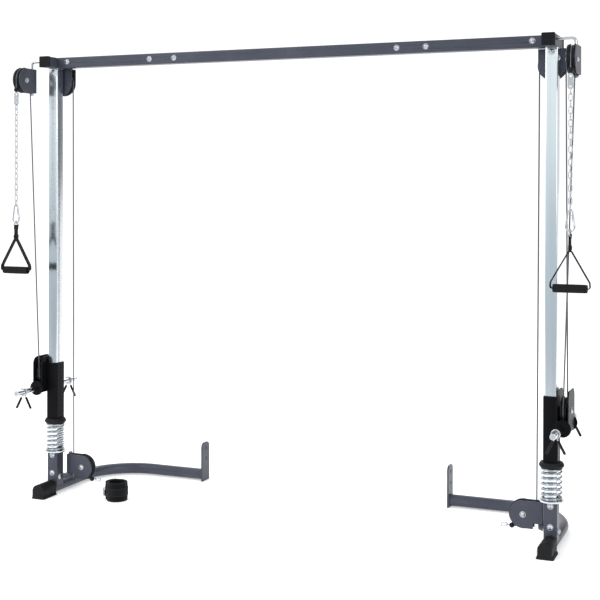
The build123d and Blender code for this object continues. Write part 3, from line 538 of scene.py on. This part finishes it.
# ---- bolts ----
def bolt(shape, seat, outward, grip, stud=0.0):
    """Dome head with a hexagon socket, washer and shank; a nut and washer, or a bare stud, behind."""
    dome_r = (HEAD_R**2 + HEAD_TALL**2) / (2 * HEAD_TALL)
    spread = asin(HEAD_R / dome_r)
    socket = 0.0034
    dome = []
    for k in range(7):
        a = spread * (1 - k / 6 * 0.72)
        dome.append((dome_r * sin(a), HEAD_TALL - dome_r + dome_r * cos(a)))
    dome += [(socket, dome[-1][1] + 0.0002, "hex"), (socket, HEAD_TALL - 0.004, "hex")]
    dome.append((0.0002, HEAD_TALL - 0.0045))
    brim = HEAD_R + 0.0018
    washer = [(BOLT_R, 0.0002), (brim, 0.0002), (brim + 0.0003, 0.0006), (brim, 0.0012)]
    shape.lathe(seat, outward, washer + [(HEAD_R, 0.0012)] + dome, 48)
    far = -(grip + (stud or 0.01))
    thread = []
    pitch = 0.00175
    tip = far
    z = -grip
    while z > tip + pitch:
        thread += [(BOLT_R, z), (BOLT_R - 0.0007, z - pitch / 2)]
        z -= pitch
    shank = [(BOLT_R, -0.0005), (BOLT_R, -grip)] + thread + [(BOLT_R - 0.001, tip), (0.0002, tip)]
    shape.lathe(seat, outward, shank, 32)
    if not stud:
        base = -grip
        nut = [(NUT_R + 0.0016, base), (NUT_R + 0.0016, base - 0.001), (NUT_R - 0.0006, base - 0.001),
               (NUT_R, base - 0.0018, "hex"), (NUT_R, base - 0.0068, "hex"), (NUT_R - 0.0016, base - 0.0078),
               (BOLT_R, base - 0.0078)]
        shape.lathe(seat, outward, nut, 48)


def frame_bolts():
    beam_low, beam_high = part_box("top_beam")
    level = (beam_low.z + beam_high.z) / 2
    tube = beam_high.y - beam_low.y
    shape = Shape()
    for side, way in SIDES.items():
        outward = X * way
        post_low, post_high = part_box(f"{side}_base_post")
        column = middle(f"{side}_column")
        column_half = tube / 2
        post_half = (post_high.x - column.x) if way > 0 else (column.x - post_low.x)
        for x in (ARM_X - ARM_BOLTS / 2, ARM_X + ARM_BOLTS / 2):
            bolt(shape, Vector((way * x, beam_low.y, level)), -Y, tube, ARM_STUD)
        bolt(shape, Vector((way * END_BOLT_X, beam_low.y, level + END_BOLT_UP)), -Y, tube)
        bolt(shape, Vector((column.x, column.y - column_half, TOP_FRONT_BOLT_Z)), -Y, 0.004, 0.006)
        outer = Vector((column.x, column.y, TOP_SIDE_BOLT_Z)) + outward * column_half
        bolt(shape, outer, outward, 0.004, 0.006)
        for z in POST_FRONT_BOLTS_Z:
            bolt(shape, Vector((column.x, column.y - post_half, z)), -Y, 2 * post_half)
        inner = Vector((column.x, column.y + POST_SIDE_BOLT_Y, POST_SIDE_BOLT_Z)) - outward * post_half
        bolt(shape, inner, -outward, 2 * post_half)
        crown = middle(f"{side}_crown_pulley")
        bolt(shape, crown + Y * HOUSING_HALF, Y, 2 * HOUSING_HALF - 0.0004, 0.003)
    shape.object("bolts", ZINC, "frame", ["frame_bolts"], smooth=28)


def axles(side):
    outward = X * SIDES[side]
    top = Shape()
    bolt(top, middle(f"{side}_top_swivel_pulley") + outward * HOUSING_HALF, outward, 2 * HOUSING_HALF)
    top.object(f"{side}_top_axle_bolt", ZINC, f"{side}_top_swivel", [f"{side}_top_swivel_axle"], smooth=28)
    low = Shape()
    bolt(low, middle(f"{side}_low_swivel_pulley") - Y * HOUSING_HALF, -Y, 2 * HOUSING_HALF)
    low.object(f"{side}_low_axle_bolt", ZINC, f"{side}_low_swivel", [f"{side}_low_swivel_axle"], smooth=28)
    wheel = middle(f"{side}_carriage_pulley")
    carriage = Shape()
    bolt(carriage, wheel + outward * BRACKET_HALF_WIDE, outward, 2 * BRACKET_HALF_WIDE - 0.001, 0.0004)
    carriage.object(f"{side}_carriage_bolt", ZINC, f"{side}_carriage", [f"{side}_carriage_axle"], smooth=28)


# ---- springs and collars ----
def bumper_springs():
    """Open coils with a flat turn at each end."""
    low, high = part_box("bumper_springs")
    wire = 0.004
    turns, steps = 7.2, 260
    ground_end = 0.09
    shape = Shape()
    for side in SIDES:
        column = middle(f"{side}_column")
        path = []
        for i in range(steps + 1):
            u = i / steps
            rise = min(max((u - ground_end) / (1 - 2 * ground_end), 0), 1)
            rise = rise * 0.86 + 0.14 * rise * rise * (3 - 2 * rise)
            turn = tau * turns * u
            height = low.z + wire + (high.z - low.z - 2 * wire) * rise
            path.append(Vector((column.x + SPRING_R * cos(turn), column.y + SPRING_R * sin(turn), height)))
        shape.tube(path, wire, Z, 16)
    shape.object("coil_springs", SPRING_PAINTED_SHADE, "frame", ["bumper_springs"])


def collar(side, facing):
    """Wire spring collar: two and a half turns on the peg and two handles with ribbed rubber grips."""
    which = "front" if facing < 0 else "rear"
    cad = f"{side}_{which}_clip"
    low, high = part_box(cad)
    peg = middle(f"{side}_plate_pegs")
    centre = Vector((peg.x, (low.y + high.y) / 2, peg.z))
    wire, mean, bend = 0.0025, 0.0162, 0.005
    half_coil = 0.0058
    first, last = radians(-118), radians(-62) - 2 * tau
    steps = 120
    path = []
    coil = [first + (last - first) * i / steps for i in range(steps + 1)]
    radial = [X * cos(a) + Z * sin(a) for a in (first, last)]
    heading = [X * sin(a) - Z * cos(a) for a in (first, last)]
    start = centre - Y * half_coil + radial[0] * mean
    end = centre + Y * half_coil + radial[1] * mean
    handle = 0.060
    corner = [radians(90 - 10 * k) for k in range(10)]
    grip_start = start + radial[0] * bend - heading[0] * bend
    grip_end = end + radial[1] * bend + heading[1] * bend
    path += straight(grip_start + radial[0] * handle, grip_start, 6)
    path += [start - heading[0] * (bend * sin(a)) + radial[0] * (bend * (1 - cos(a))) for a in corner[1:]]
    for i, a in enumerate(coil[1:-1], 1):
        path.append(centre + Y * (half_coil * (2 * i / steps - 1)) + (X * cos(a) + Z * sin(a)) * mean)
    path += [end + heading[1] * (bend * sin(a)) + radial[1] * (bend * (1 - cos(a))) for a in reversed(corner)]
    path += straight(grip_end, grip_end + radial[1] * handle, 6)[1:]
    body = f"{side}_{which}_collar"
    shape = Shape()
    shape.tube(path, wire, Y, 14)
    shape.object(f"{cad}_wire", ZINC, body, [cad])
    grips = Shape()
    for root, way in ((grip_start, radial[0]), (grip_end, radial[1])):
        profile = [(0.0026, 0.006), (0.0046, 0.006), (0.0054, 0.0075)]
        for k in range(9):
            z = 0.010 + k * 0.0055
            profile += [(0.0056, z), (0.0056, z + 0.0032), (0.0050, z + 0.0040), (0.0050, z + 0.0049)]
        profile += [(0.0055, 0.0605), (0.0052, 0.0625), (0.004, 0.0642), (0.0002, 0.0648)]
        grips.lathe(root, way, profile, 28)
    grips.object(f"{cad}_grips", RUBBER, body)


# ---- handles ----
def stadium(middle_point, across, half_wide, half_tall):
    """Closed path of a chain link in the plane of across and Z."""
    straight_half = half_tall - half_wide
    path = arc(middle_point + Z * straight_half, across * half_wide, Z, 180, 14)
    path += arc(middle_point - Z * straight_half, across * -half_wide, -Z, 180, 14)
    return path


def chain(side):
    cad = f"{side}_chain"
    low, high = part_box(cad)
    wire = LINK_WIRE_R
    pitch = (high.z - low.z - 4 * wire - GAP) / LINKS
    half_wide = (high.x - low.x) / 2 - wire
    half_tall = (pitch + GAP) / 2 + wire
    links = Shape()
    for k in range(LINKS):
        centre = Vector(((low.x + high.x) / 2, (low.y + high.y) / 2, high.z - wire - half_tall - k * pitch))
        across, flat = (Y, X) if k % 2 == 0 else (X, Y)
        links.tube(stadium(centre, across, half_wide, half_tall), wire, flat, 12, closed=True)
        weld = [(0.0021, -0.0022), (0.00245, -0.0012), (0.00255, 0), (0.00245, 0.0012), (0.0021, 0.0022)]
        links.lathe(centre + across * half_wide, Z, [(0.0001, -0.0022)] + weld + [(0.0001, 0.0022)], 12)
    links.object(f"{cad}_links", ZINC, f"{side}_handle", [cad])


def flat_plate(name, centre, outline, holes, thick, material, body):
    """Flat plate with round holes in the XZ plane, its edges rounded."""
    curve = bpy.data.curves.new(name, "CURVE")
    curve.dimensions = "2D"
    curve.fill_mode = "BOTH"
    curve.extrude = thick / 2 - 0.0005
    curve.bevel_depth = 0.0005
    curve.bevel_resolution = 2
    rings = [outline]
    for x, z, r in holes:
        rings.append([(x + r * cos(tau * k / 32), z + r * sin(tau * k / 32)) for k in range(32)])
    for ring in rings:
        spline = curve.splines.new("POLY")
        spline.points.add(len(ring) - 1)
        for point, (x, z) in zip(spline.points, ring):
            point.co = (x, z, 0, 1)
        spline.use_cyclic_u = True
    temporary = bpy.data.objects.new(name + "_curve", curve)
    mesh = bpy.data.meshes.new_from_object(temporary)
    bpy.data.objects.remove(temporary)
    mesh.materials.clear()
    mesh.materials.append(material)
    mesh.transform(Euler((radians(90), 0, 0)).to_matrix().to_4x4())
    obj = bpy.data.objects.new(name, mesh)
    obj.location = centre
    bpy.context.scene.collection.objects.link(obj)
    smooth_by_angle(obj, 40)
    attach(obj, body)


def ball(shape, centre, axis):
    """Moulded ball with a parting line and a recess where the cable goes in."""
    profile = []
    for k in range(3, 37):
        a = pi * k / 36
        bead = 0.00025 if k == 18 else 0.0
        profile.append(((BALL_R + bead) * sin(a), (BALL_R + bead) * cos(a)))
    profile = [(CABLE_R + 0.0001, profile[0][1] - 0.002), (CABLE_R + 0.0002, profile[0][1])] + profile[1:]
    profile.append((0.0001, -BALL_R))
    shape.lathe(centre, axis, profile, 40)


def ball_stop(side):
    cad = f"{side}_ball_stop"
    low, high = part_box(cad)
    centre = Vector(((low.x + high.x) / 2, (low.y + high.y) / 2, high.z - BALL_R))
    shape = Shape()
    ball(shape, centre, Z)
    shape.object(f"{cad}_ball", RUBBER, f"{side}_pull", [cad])
    top = high.z - 2 * BALL_R
    tall = top - low.z
    r = 0.0108
    end = tall / 2 - r
    outline = [(r * cos(radians(a)), end + r * sin(radians(a))) for a in range(0, 181, 12)]
    outline += [(r * cos(radians(a)), -end + r * sin(radians(a))) for a in range(180, 361, 12)]
    holes = [(0, end, EYE_HOLE_R), (0, -end, EYE_HOLE_R)]
    place = Vector((centre.x, centre.y, (top + low.z) / 2))
    flat_plate(f"{cad}_eye", place, outline, holes, EYE_THICK, ZINC, f"{side}_pull")


def pear(origin, across, down, near_r, far_r, long, steps=18):
    """Closed path: a small arc about the origin, a larger one further down, joined by tangents."""
    lean = asin((far_r - near_r) / long)
    near_arm = (across * cos(lean) - down * sin(lean)) * near_r
    near_on = -down * cos(lean) - across * sin(lean)
    path = arc(origin, near_arm, near_on, 180 - 2 * lean * 180 / pi, steps)
    far_arm = (-across * cos(lean) - down * sin(lean)) * far_r
    far_on = down * cos(lean) - across * sin(lean)
    path += arc(origin + down * long, far_arm, far_on, 180 + 2 * lean * 180 / pi, steps)
    return path


def carabiner(side):
    """Pear-shaped snap hook with its gate, and the webbing's three-cornered ring; gives its bar's height."""
    cad = f"{side}_carabiner"
    low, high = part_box(cad)
    x, y = (low.x + high.x) / 2, (low.y + high.y) / 2
    wire = 0.0035
    near_r, far_r, long = 0.009, 0.017, 0.058
    top = Vector((x, y, high.z - wire - near_r))
    foot = top.z - long - far_r
    body = f"{side}_handle"
    hook = Shape()
    path = pear(top, X, -Z, near_r, far_r, long)
    hook.tube(path, wire, Y, 18, closed=True)
    right_top = top + X * near_r * 0.98 - Z * 0.010
    right_low = top + X * (far_r * 0.93) - Z * (long - 0.004)
    along = (right_low - right_top).normalized()
    span = (right_low - right_top).length
    gate = [(0.0036, 0.0), (0.0046, 0.0012), (0.0046, 0.006), (0.0041, 0.007), (0.0041, span - 0.008),
            (0.0048, span - 0.007), (0.0048, span - 0.001), (0.0036, span)]
    hook.lathe(right_top, along, gate, 28)
    for spot in (right_top + along * 0.0035, right_low - along * 0.004):
        rivet = [(0.0001, 0), (0.0012, 0), (0.0014, 0.0003)]
        rivet += [(radius, 0.0104 - height) for radius, height in reversed(rivet)]
        hook.lathe(spot - Y * 0.0052, Y, rivet, 16)
    hook.object(f"{cad}_hook", ZINC, body, [cad])
    ring = Shape()
    bar, apex, half_bar = foot - 0.0137, foot + 0.0113, 0.022
    corners = [Vector((x, y + half_bar, bar)), Vector((x, y, apex)), Vector((x, y - half_bar, bar))]
    ring.tube(rounded(corners, 0.003, 8), RING_WIRE_R, X, 16, closed=True)
    ring.object(f"{cad}_ring", ZINC, body)
    return bar


def tape(half_wide, half_thick, edge=0.0008):
    """Webbing's section: a flat tape with soft selvedges, u across its width."""
    points = []
    u, v = half_wide - edge, half_thick - edge
    for cx, cy, start in ((u, v, 0), (-u, v, 90), (-u, -v, 180), (u, -v, 270)):
        for turn in (0, 30, 60, 90):
            a = radians(start + turn)
            points.append((cx + edge * cos(a), cy + edge * sin(a)))
    return points


def handle(side):
    """Webbing stirrup: a sewn loop on the ring, two legs, and a run through the grip."""
    bar = carabiner(side)
    cad = f"{side}_handle_strap"
    grip_low, grip_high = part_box(f"{side}_handle_grip")
    grip = (grip_low + grip_high) / 2
    strap_low, strap_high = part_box(cad)
    half_wide = (strap_high.y - strap_low.y) / 2
    thick = 0.0016
    corner = (strap_high.x - strap_low.x) / 2 - thick
    body = f"{side}_handle"
    strap = Shape()
    shoulder = corner - 0.002
    turns = [(-corner, grip.z), (corner, grip.z), (shoulder, grip.z + 0.024), (0, APEX_Z + 0.008)]
    turns.append((-shoulder, grip.z + 0.024))
    corners = [Vector((grip.x + dx, grip.y, z)) for dx, z in turns]
    strap.sweep(rounded(corners, 0.008, 10), tape(half_wide, thick), Y, closed=True)
    loop_r = RING_WIRE_R + 0.0003 + thick
    climb = []
    for i in range(25):
        z = APEX_Z - 0.004 + (bar - APEX_Z + 0.004) * i / 24
        near = min(max((z - (bar - 0.02)) / 0.02, 0), 1)
        near = near * near * (3 - 2 * near)
        climb.append((thick * 1.03 + (loop_r - thick * 1.03) * near, z))
    up = [Vector((grip.x - dx, grip.y, z)) for dx, z in climb]
    over = arc(Vector((grip.x, grip.y, bar)), X * -loop_r, Z, 180, 14)[1:-1]
    down = [Vector((grip.x + dx, grip.y, z)) for dx, z in reversed(climb)]
    strap.sweep(up + over + down, tape(half_wide - 0.0006, thick), Y)
    keeper = [Vector((grip.x + sx * 0.0052, grip.y + sy * (half_wide + 0.0006), APEX_Z + 0.012))
              for sx, sy in ((-1, -1), (1, -1), (1, 1), (-1, 1))]
    strap.sweep(rounded(keeper, 0.0022, 5), tape(0.009, 0.0008, 0.0006), Z, closed=True)
    strap.object(f"{cad}_webbing", WEBBING, body, [cad])
    thread = Shape()
    for sx in (-1, 1):
        face = sx * (2 * thick + 0.0002)
        box = [(-0.008, APEX_Z + 0.026), (0.008, APEX_Z + 0.026), (0.008, bar - 0.022), (-0.008, bar - 0.022)]
        spots = [Vector((grip.x + face, grip.y + y, z)) for y, z in box]
        for a, b in ((0, 1), (1, 2), (2, 3), (3, 0), (0, 2), (1, 3)):
            stitch_line(thread, spots[a], spots[b], X)
    thread.object(f"{cad}_stitches", THREAD, body)
    foam_shape = Shape()
    half = (grip_high.x - grip_low.x) / 2
    r = (grip_high.z - grip_low.z) / 2
    profile = [(0.0142, -half + 0.004), (r - 0.0022, -half + 0.0042), (r - 0.0008, -half + 0.0056)]
    profile.append((r - 0.0003, -half + 0.0085))
    crown = [(r - 0.0003 * (abs(k) / 8) ** 2, k / 8 * (half - 0.009)) for k in range(-7, 8)]
    profile += crown + [(radius, -height) for radius, height in reversed(profile)]
    foam_shape.lathe(grip, X, profile + [profile[0]], 56)
    sleeve = foam_shape.object(f"{side}_grip_foam", FOAM, f"{side}_grip", [f"{side}_handle_grip"])
    ends = Shape()
    for way in (-1, 1):
        lip = [(0.0134, half - 0.03), (0.0134, half), (0.0152, half), (0.0162, half - 0.0008)]
        lip += [(0.0164, half - 0.0032), (0.0158, half - 0.004), (0.0141, half - 0.004)]
        lip.append((0.0141, half - 0.03))
        ends.lathe(grip, X * way, lip + [lip[0]], 48)
    ends.object(f"{side}_grip_ends", NYLON, f"{side}_grip")


def stitch_line(shape, start, end, normal, pitch=0.003, thread=0.00035):
    """Dashes of sewing thread along a line on a face with that normal."""
    count = max(1, int((end - start).length / pitch))
    for k in range(count):
        a = start.lerp(end, (k + 0.15) / count)
        b = start.lerp(end, (k + 0.85) / count)
        shape.tube(straight(a, b, 2), thread, normal, 8)


def low_hook(side):
    """Ball stop, wire eye and small carabiner at the cable's low end."""
    cad = f"{side}_low_hook"
    low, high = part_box(cad)
    inward = X * -SIDES[side]
    centre = Vector((outer_x(cad, side), (low.y + high.y) / 2, (low.z + high.z) / 2)) + inward * BALL_R
    body = f"{side}_low_swivel"
    stop = Shape()
    ball(stop, centre, -inward)
    stop.object(f"{cad}_ball", RUBBER, body, [cad])
    ring = Shape()
    eye = centre + inward * 0.0175
    eye_r, eye_wire = 0.0055, 0.002
    near_r, far_r, long = 0.006, 0.008, 0.014
    ring.tube(arc(eye, inward * eye_r, Y, 360, 28)[:-1], eye_wire, Z, 14, closed=True)
    origin = eye + inward * (eye_r - eye_wire - RING_WIRE_R - GAP + near_r)
    ring.tube(pear(origin, Z, inward, near_r, far_r, long), RING_WIRE_R, Y, 16, closed=True)
    gate_start = origin + Z * 0.0063
    gate = [(0.0026, 0.0), (0.0034, 0.0008), (0.0034, 0.004), (0.003, 0.0048), (0.003, 0.0112)]
    gate += [(0.0034, 0.012), (0.0026, 0.0135)]
    ring.lathe(gate_start, (inward * long + Z * 0.0018).normalized(), gate, 22)
    ring.object(f"{cad}_links", ZINC, body)


# ---- ankle cuff ----
def ankle_cuff():
    """Padded cuff rolled up past a full turn, bound at its edges, with a band and a D-ring."""
    centre = Vector((CUFF_X, CUFF_Y, 0))
    tall = 0.088
    wall, ring_r = 0.0036, 0.0445
    start_angle = radians(120)
    lap = 0.0082

    def radius_at(u):
        t = min(max((u - 0.80) / 0.08, 0), 1)
        return ring_r + lap * t * t * (3 - 2 * t)

    def spiral(extra, u0=0.0, u1=1.0, steps=120, z=tall / 2):
        path = []
        for i in range(steps + 1):
            u = u0 + (u1 - u0) * i / steps
            a = start_angle + u * radians(435)
            r = radius_at(u) + extra + 0.0006 * sin(3 * a)
            path.append(centre + X * (r * cos(a)) + Y * (r * sin(a)) + Z * z)
        return path

    section = []
    half = tall / 2 - 0.0015
    for k in range(48):
        a = tau * k / 48
        cu, cv = cos(a), sin(a)
        u = half * (abs(cu) ** 0.25) * (1 if cu >= 0 else -1)
        bulge = 1 + 0.32 * sin(pi * min(abs(u) / half, 1)) ** 2
        section.append((u, wall * (abs(cv) ** 0.5) * (1 if cv >= 0 else -1) * bulge * 0.95))
    pad = Shape()
    pad.sweep(spiral(0), section, Z)
    cuff = pad.object("cuff_pad", NEOPRENE, "ankle_cuff", ["ankle_strap"], smooth=60)
    binding = Shape()
    for z in (0.0042, tall - 0.0042):
        trim = [(0.0042 * cos(tau * k / 20), 0.004 * sin(tau * k / 20)) for k in range(20)]
        binding.sweep(spiral(0, z=z), trim, Z)
    binding.object("cuff_binding", WEBBING, "ankle_cuff")
    band = Shape()
    band.sweep(spiral(wall + 0.0016, 0.16, 1.0), tape(0.019, 0.0011), Z)
    band.object("cuff_band", WEBBING, "ankle_cuff")
    thread = Shape()
    for z in (tall / 2 - 0.0165, tall / 2 + 0.0165):
        path = spiral(wall + 0.0029, 0.17, 0.99, 230, z)
        for k in range(0, len(path) - 1, 2):
            thread.tube(straight(path[k], path[k + 1], 2), 0.0004, Z, 6)
    thread.object("cuff_stitches", THREAD, "ankle_cuff")
    facing = Vector((-cos(radians(RING_ANGLE)), -sin(radians(RING_ANGLE)), 0))
    along = facing.cross(Z)
    root = centre + Z * (tall / 2) + facing * (ring_r + lap + wall + 0.0035)
    loop = Shape()
    fold = arc(root + facing * 0.0012, facing * -0.0036, along, 360, 28)[:-1]
    loop.sweep(fold, tape(0.013, 0.0007, 0.0006), Z, closed=True)
    loop.object("cuff_tab", WEBBING, "ankle_cuff")
    ring = Shape()
    bar = root + facing * 0.0012
    far = bar + along * 0.022
    corners = [bar - Z * 0.021, bar + Z * 0.021, far + Z * 0.014, far - Z * 0.014]
    ring.tube(rounded(corners, 0.0065, 8), 0.0024, facing, 16, closed=True)
    ring.object("cuff_ring", ZINC, "ankle_cuff")


# ---- small additions on the frame ----
def weld_bead(shape, path, side_axis, radius):
    """Rippled weld along a closed joint."""
    count = len(path)
    start = len(shape.verts)
    shape.tube(path, radius, side_axis, 10, closed=True)
    for i in range(count):
        swell = 1 + 0.16 * sin(i * 1.9)
        for j in range(10):
            k = start + i * 10 + j
            shape.verts[k] = path[i] + (shape.verts[k] - path[i]) * swell


def welds(side):
    """The bead where the base tube meets its rack plate."""
    outward = X * SIDES[side]
    low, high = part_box(f"{side}_base_tube")
    tube_y = high.y - PLATE_WIDE / 2
    plate_x = (low.x if SIDES[side] > 0 else high.x) + SIDES[side] * PLATE_THICK
    shape = Shape()
    hub = Vector((plate_x, tube_y, BASE_Z))
    weld_bead(shape, arc(hub + outward * 0.001, Y * (BASE_R - 0.0006), Z, 360, 110)[:-1], X, 0.003)
    shape.object(f"{side}_welds", SLATE, "frame")


def sleeve_bushings(side):
    """Plastic guide collar that shows at the top end of the carriage's sleeve."""
    low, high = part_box(f"{side}_carriage_sleeve")
    column = middle(f"{side}_column")
    shape = Shape()
    half = (high.x - low.x) / 2 - 0.0022
    corners = [Vector((column.x + sx * half, column.y + sy * half, high.z + 0.0008))
               for sx, sy in ((-1, -1), (1, -1), (1, 1), (-1, 1))]
    shape.sweep(rounded(corners, 0.004, 6), tape(0.0016, 0.0018, 0.0006), Z, closed=True)
    shape.object(f"{side}_sleeve_bushing", NYLON, f"{side}_carriage")


frame_bolts()
bumper_springs()
ankle_cuff()
for side in SIDES:
    cable(side)
    pulley(side, "top_swivel_pulley", f"{side}_top_roller", X)
    pulley(side, "carriage_pulley", f"{side}_carriage_roller", X)
    pulley(side, "crown_pulley", f"{side}_crown", Y)
    pulley(side, "low_swivel_pulley", f"{side}_low_roller", Y)
    axles(side)
    collar(side, -1)
    collar(side, 1)
    ball_stop(side)
    chain(side)
    handle(side)
    low_hook(side)
    welds(side)
    sleeve_bushings(side)


# ---- floor, lights and camera ----
def floor():
    """Pale floor with painted light and shade: near the machine it glows by its own emission, and far in
    front it is graded to a painted grey and bluish grey so that the chrome has something dark to mirror.
    """
    shape = Shape()
    ends = (-FLOOR_HALF, FLOOR_HALF)
    shape.grid([[Vector((x, y, 0)) for x in ends] for y in ends], False, False)
    mesh = bpy.data.meshes.new("floor")
    mesh.from_pydata(shape.verts, [], shape.faces)
    material = bpy.data.materials.new("floor_painted_glow_and_shade")
    material.use_nodes = True
    tree = material.node_tree
    shader = tree.nodes["Principled BSDF"]
    split = node(tree, "ShaderNodeSeparateXYZ")
    tree.links.new(node(tree, "ShaderNodeTexCoord").outputs["Object"], split.inputs[0])
    near = map_range(tree, split.outputs["Y"], 0.0, 1.0, -12.0, -1.6)
    # painted shade: the grey band and bluish grey in front of the machine darken the floor that the chrome
    # mirrors
    shade = [(0.0, (0.62, 0.69, 0.74)), (0.82, (0.40, 0.43, 0.46)), (1.0, (0.9, 0.9, 0.9))]
    tree.links.new(ramp(tree, near, shade), shader.inputs["Base Color"])
    # painted light: the floor near the machine glows by its own emission so that it reads white
    tree.links.new(map_range(tree, near, 0.0, 0.34, 0.82), shader.inputs["Emission Strength"])
    shader.inputs["Emission Color"].default_value = (1, 1, 1, 1)
    shader.inputs["Roughness"].default_value = 1.0
    shader.inputs["Specular IOR Level"].default_value = 0.0
    mesh.materials.append(material)
    obj = bpy.data.objects.new("floor", mesh)
    obj.location.z = -0.0005
    bpy.context.scene.collection.objects.link(obj)


def area_light(name, place, aim, size, power):
    light = bpy.data.lights.new(name, "AREA")
    light.size = size
    light.energy = power
    obj = bpy.data.objects.new(name, light)
    obj.location = place
    obj.rotation_euler = (Vector(aim) - Vector(place)).to_track_quat("-Z", "Y").to_euler()
    bpy.context.scene.collection.objects.link(obj)


def lights():
    """White backdrop behind the machine, a dimmer room in front and a dark flag on the right."""
    world = bpy.data.worlds.new("studio")
    world.use_nodes = True
    bpy.context.scene.world = world
    tree = world.node_tree
    coords = node(tree, "ShaderNodeTexCoord").outputs["Generated"]
    split = node(tree, "ShaderNodeSeparateXYZ")
    tree.links.new(coords, split.inputs[0])
    flag = ramp(tree, split.outputs["X"], [(0.06, (1.0, 1.0, 1.0)), (0.4, (0.2, 0.21, 0.23))])
    shades = [(0.0, (0.74, 0.81, 0.85)), (0.1, (0.9, 0.96, 0.99)), (0.5, (0.88, 0.9, 0.92))]
    room = ramp(tree, split.outputs["Z"], shades)
    behind = map_range(tree, split.outputs["Y"], 0.0, 1.0, -0.1, 0.2)
    mix = node(tree, "ShaderNodeMix", [("data_type", "RGBA")])
    tree.links.new(behind, mix.inputs["Factor"])
    tree.links.new(room, mix.inputs["A"])
    tree.links.new(flag, mix.inputs["B"])
    tree.links.new(mix.outputs["Result"], tree.nodes["Background"].inputs["Color"])
    tree.nodes["Background"].inputs["Strength"].default_value = 1.12
    area_light("key", (-3.2, -4.2, 4.6), (0, 0, 1.0), 3.0, 120)
    area_light("fill", (4.2, -3.2, 3.0), (0, 0, 1.0), 2.5, 50)
    area_light("back", (-1.4, 4.5, 3.6), (0, 0, 1.2), 2.6, 60)


def camera():
    data = bpy.data.cameras.new("camera")
    data.sensor_width = 36
    data.lens = 71.741
    data.shift_y = -0.18
    obj = bpy.data.objects.new("camera", data)
    obj.location = (2.0908, -5.0078, 1.4627)
    obj.rotation_euler = Euler((radians(89.831), radians(-0.12), radians(22.423)))
    bpy.context.scene.collection.objects.link(obj)
    bpy.context.scene.camera = obj


floor()
lights()
camera()
bpy.context.scene.view_settings.view_transform = "Standard"
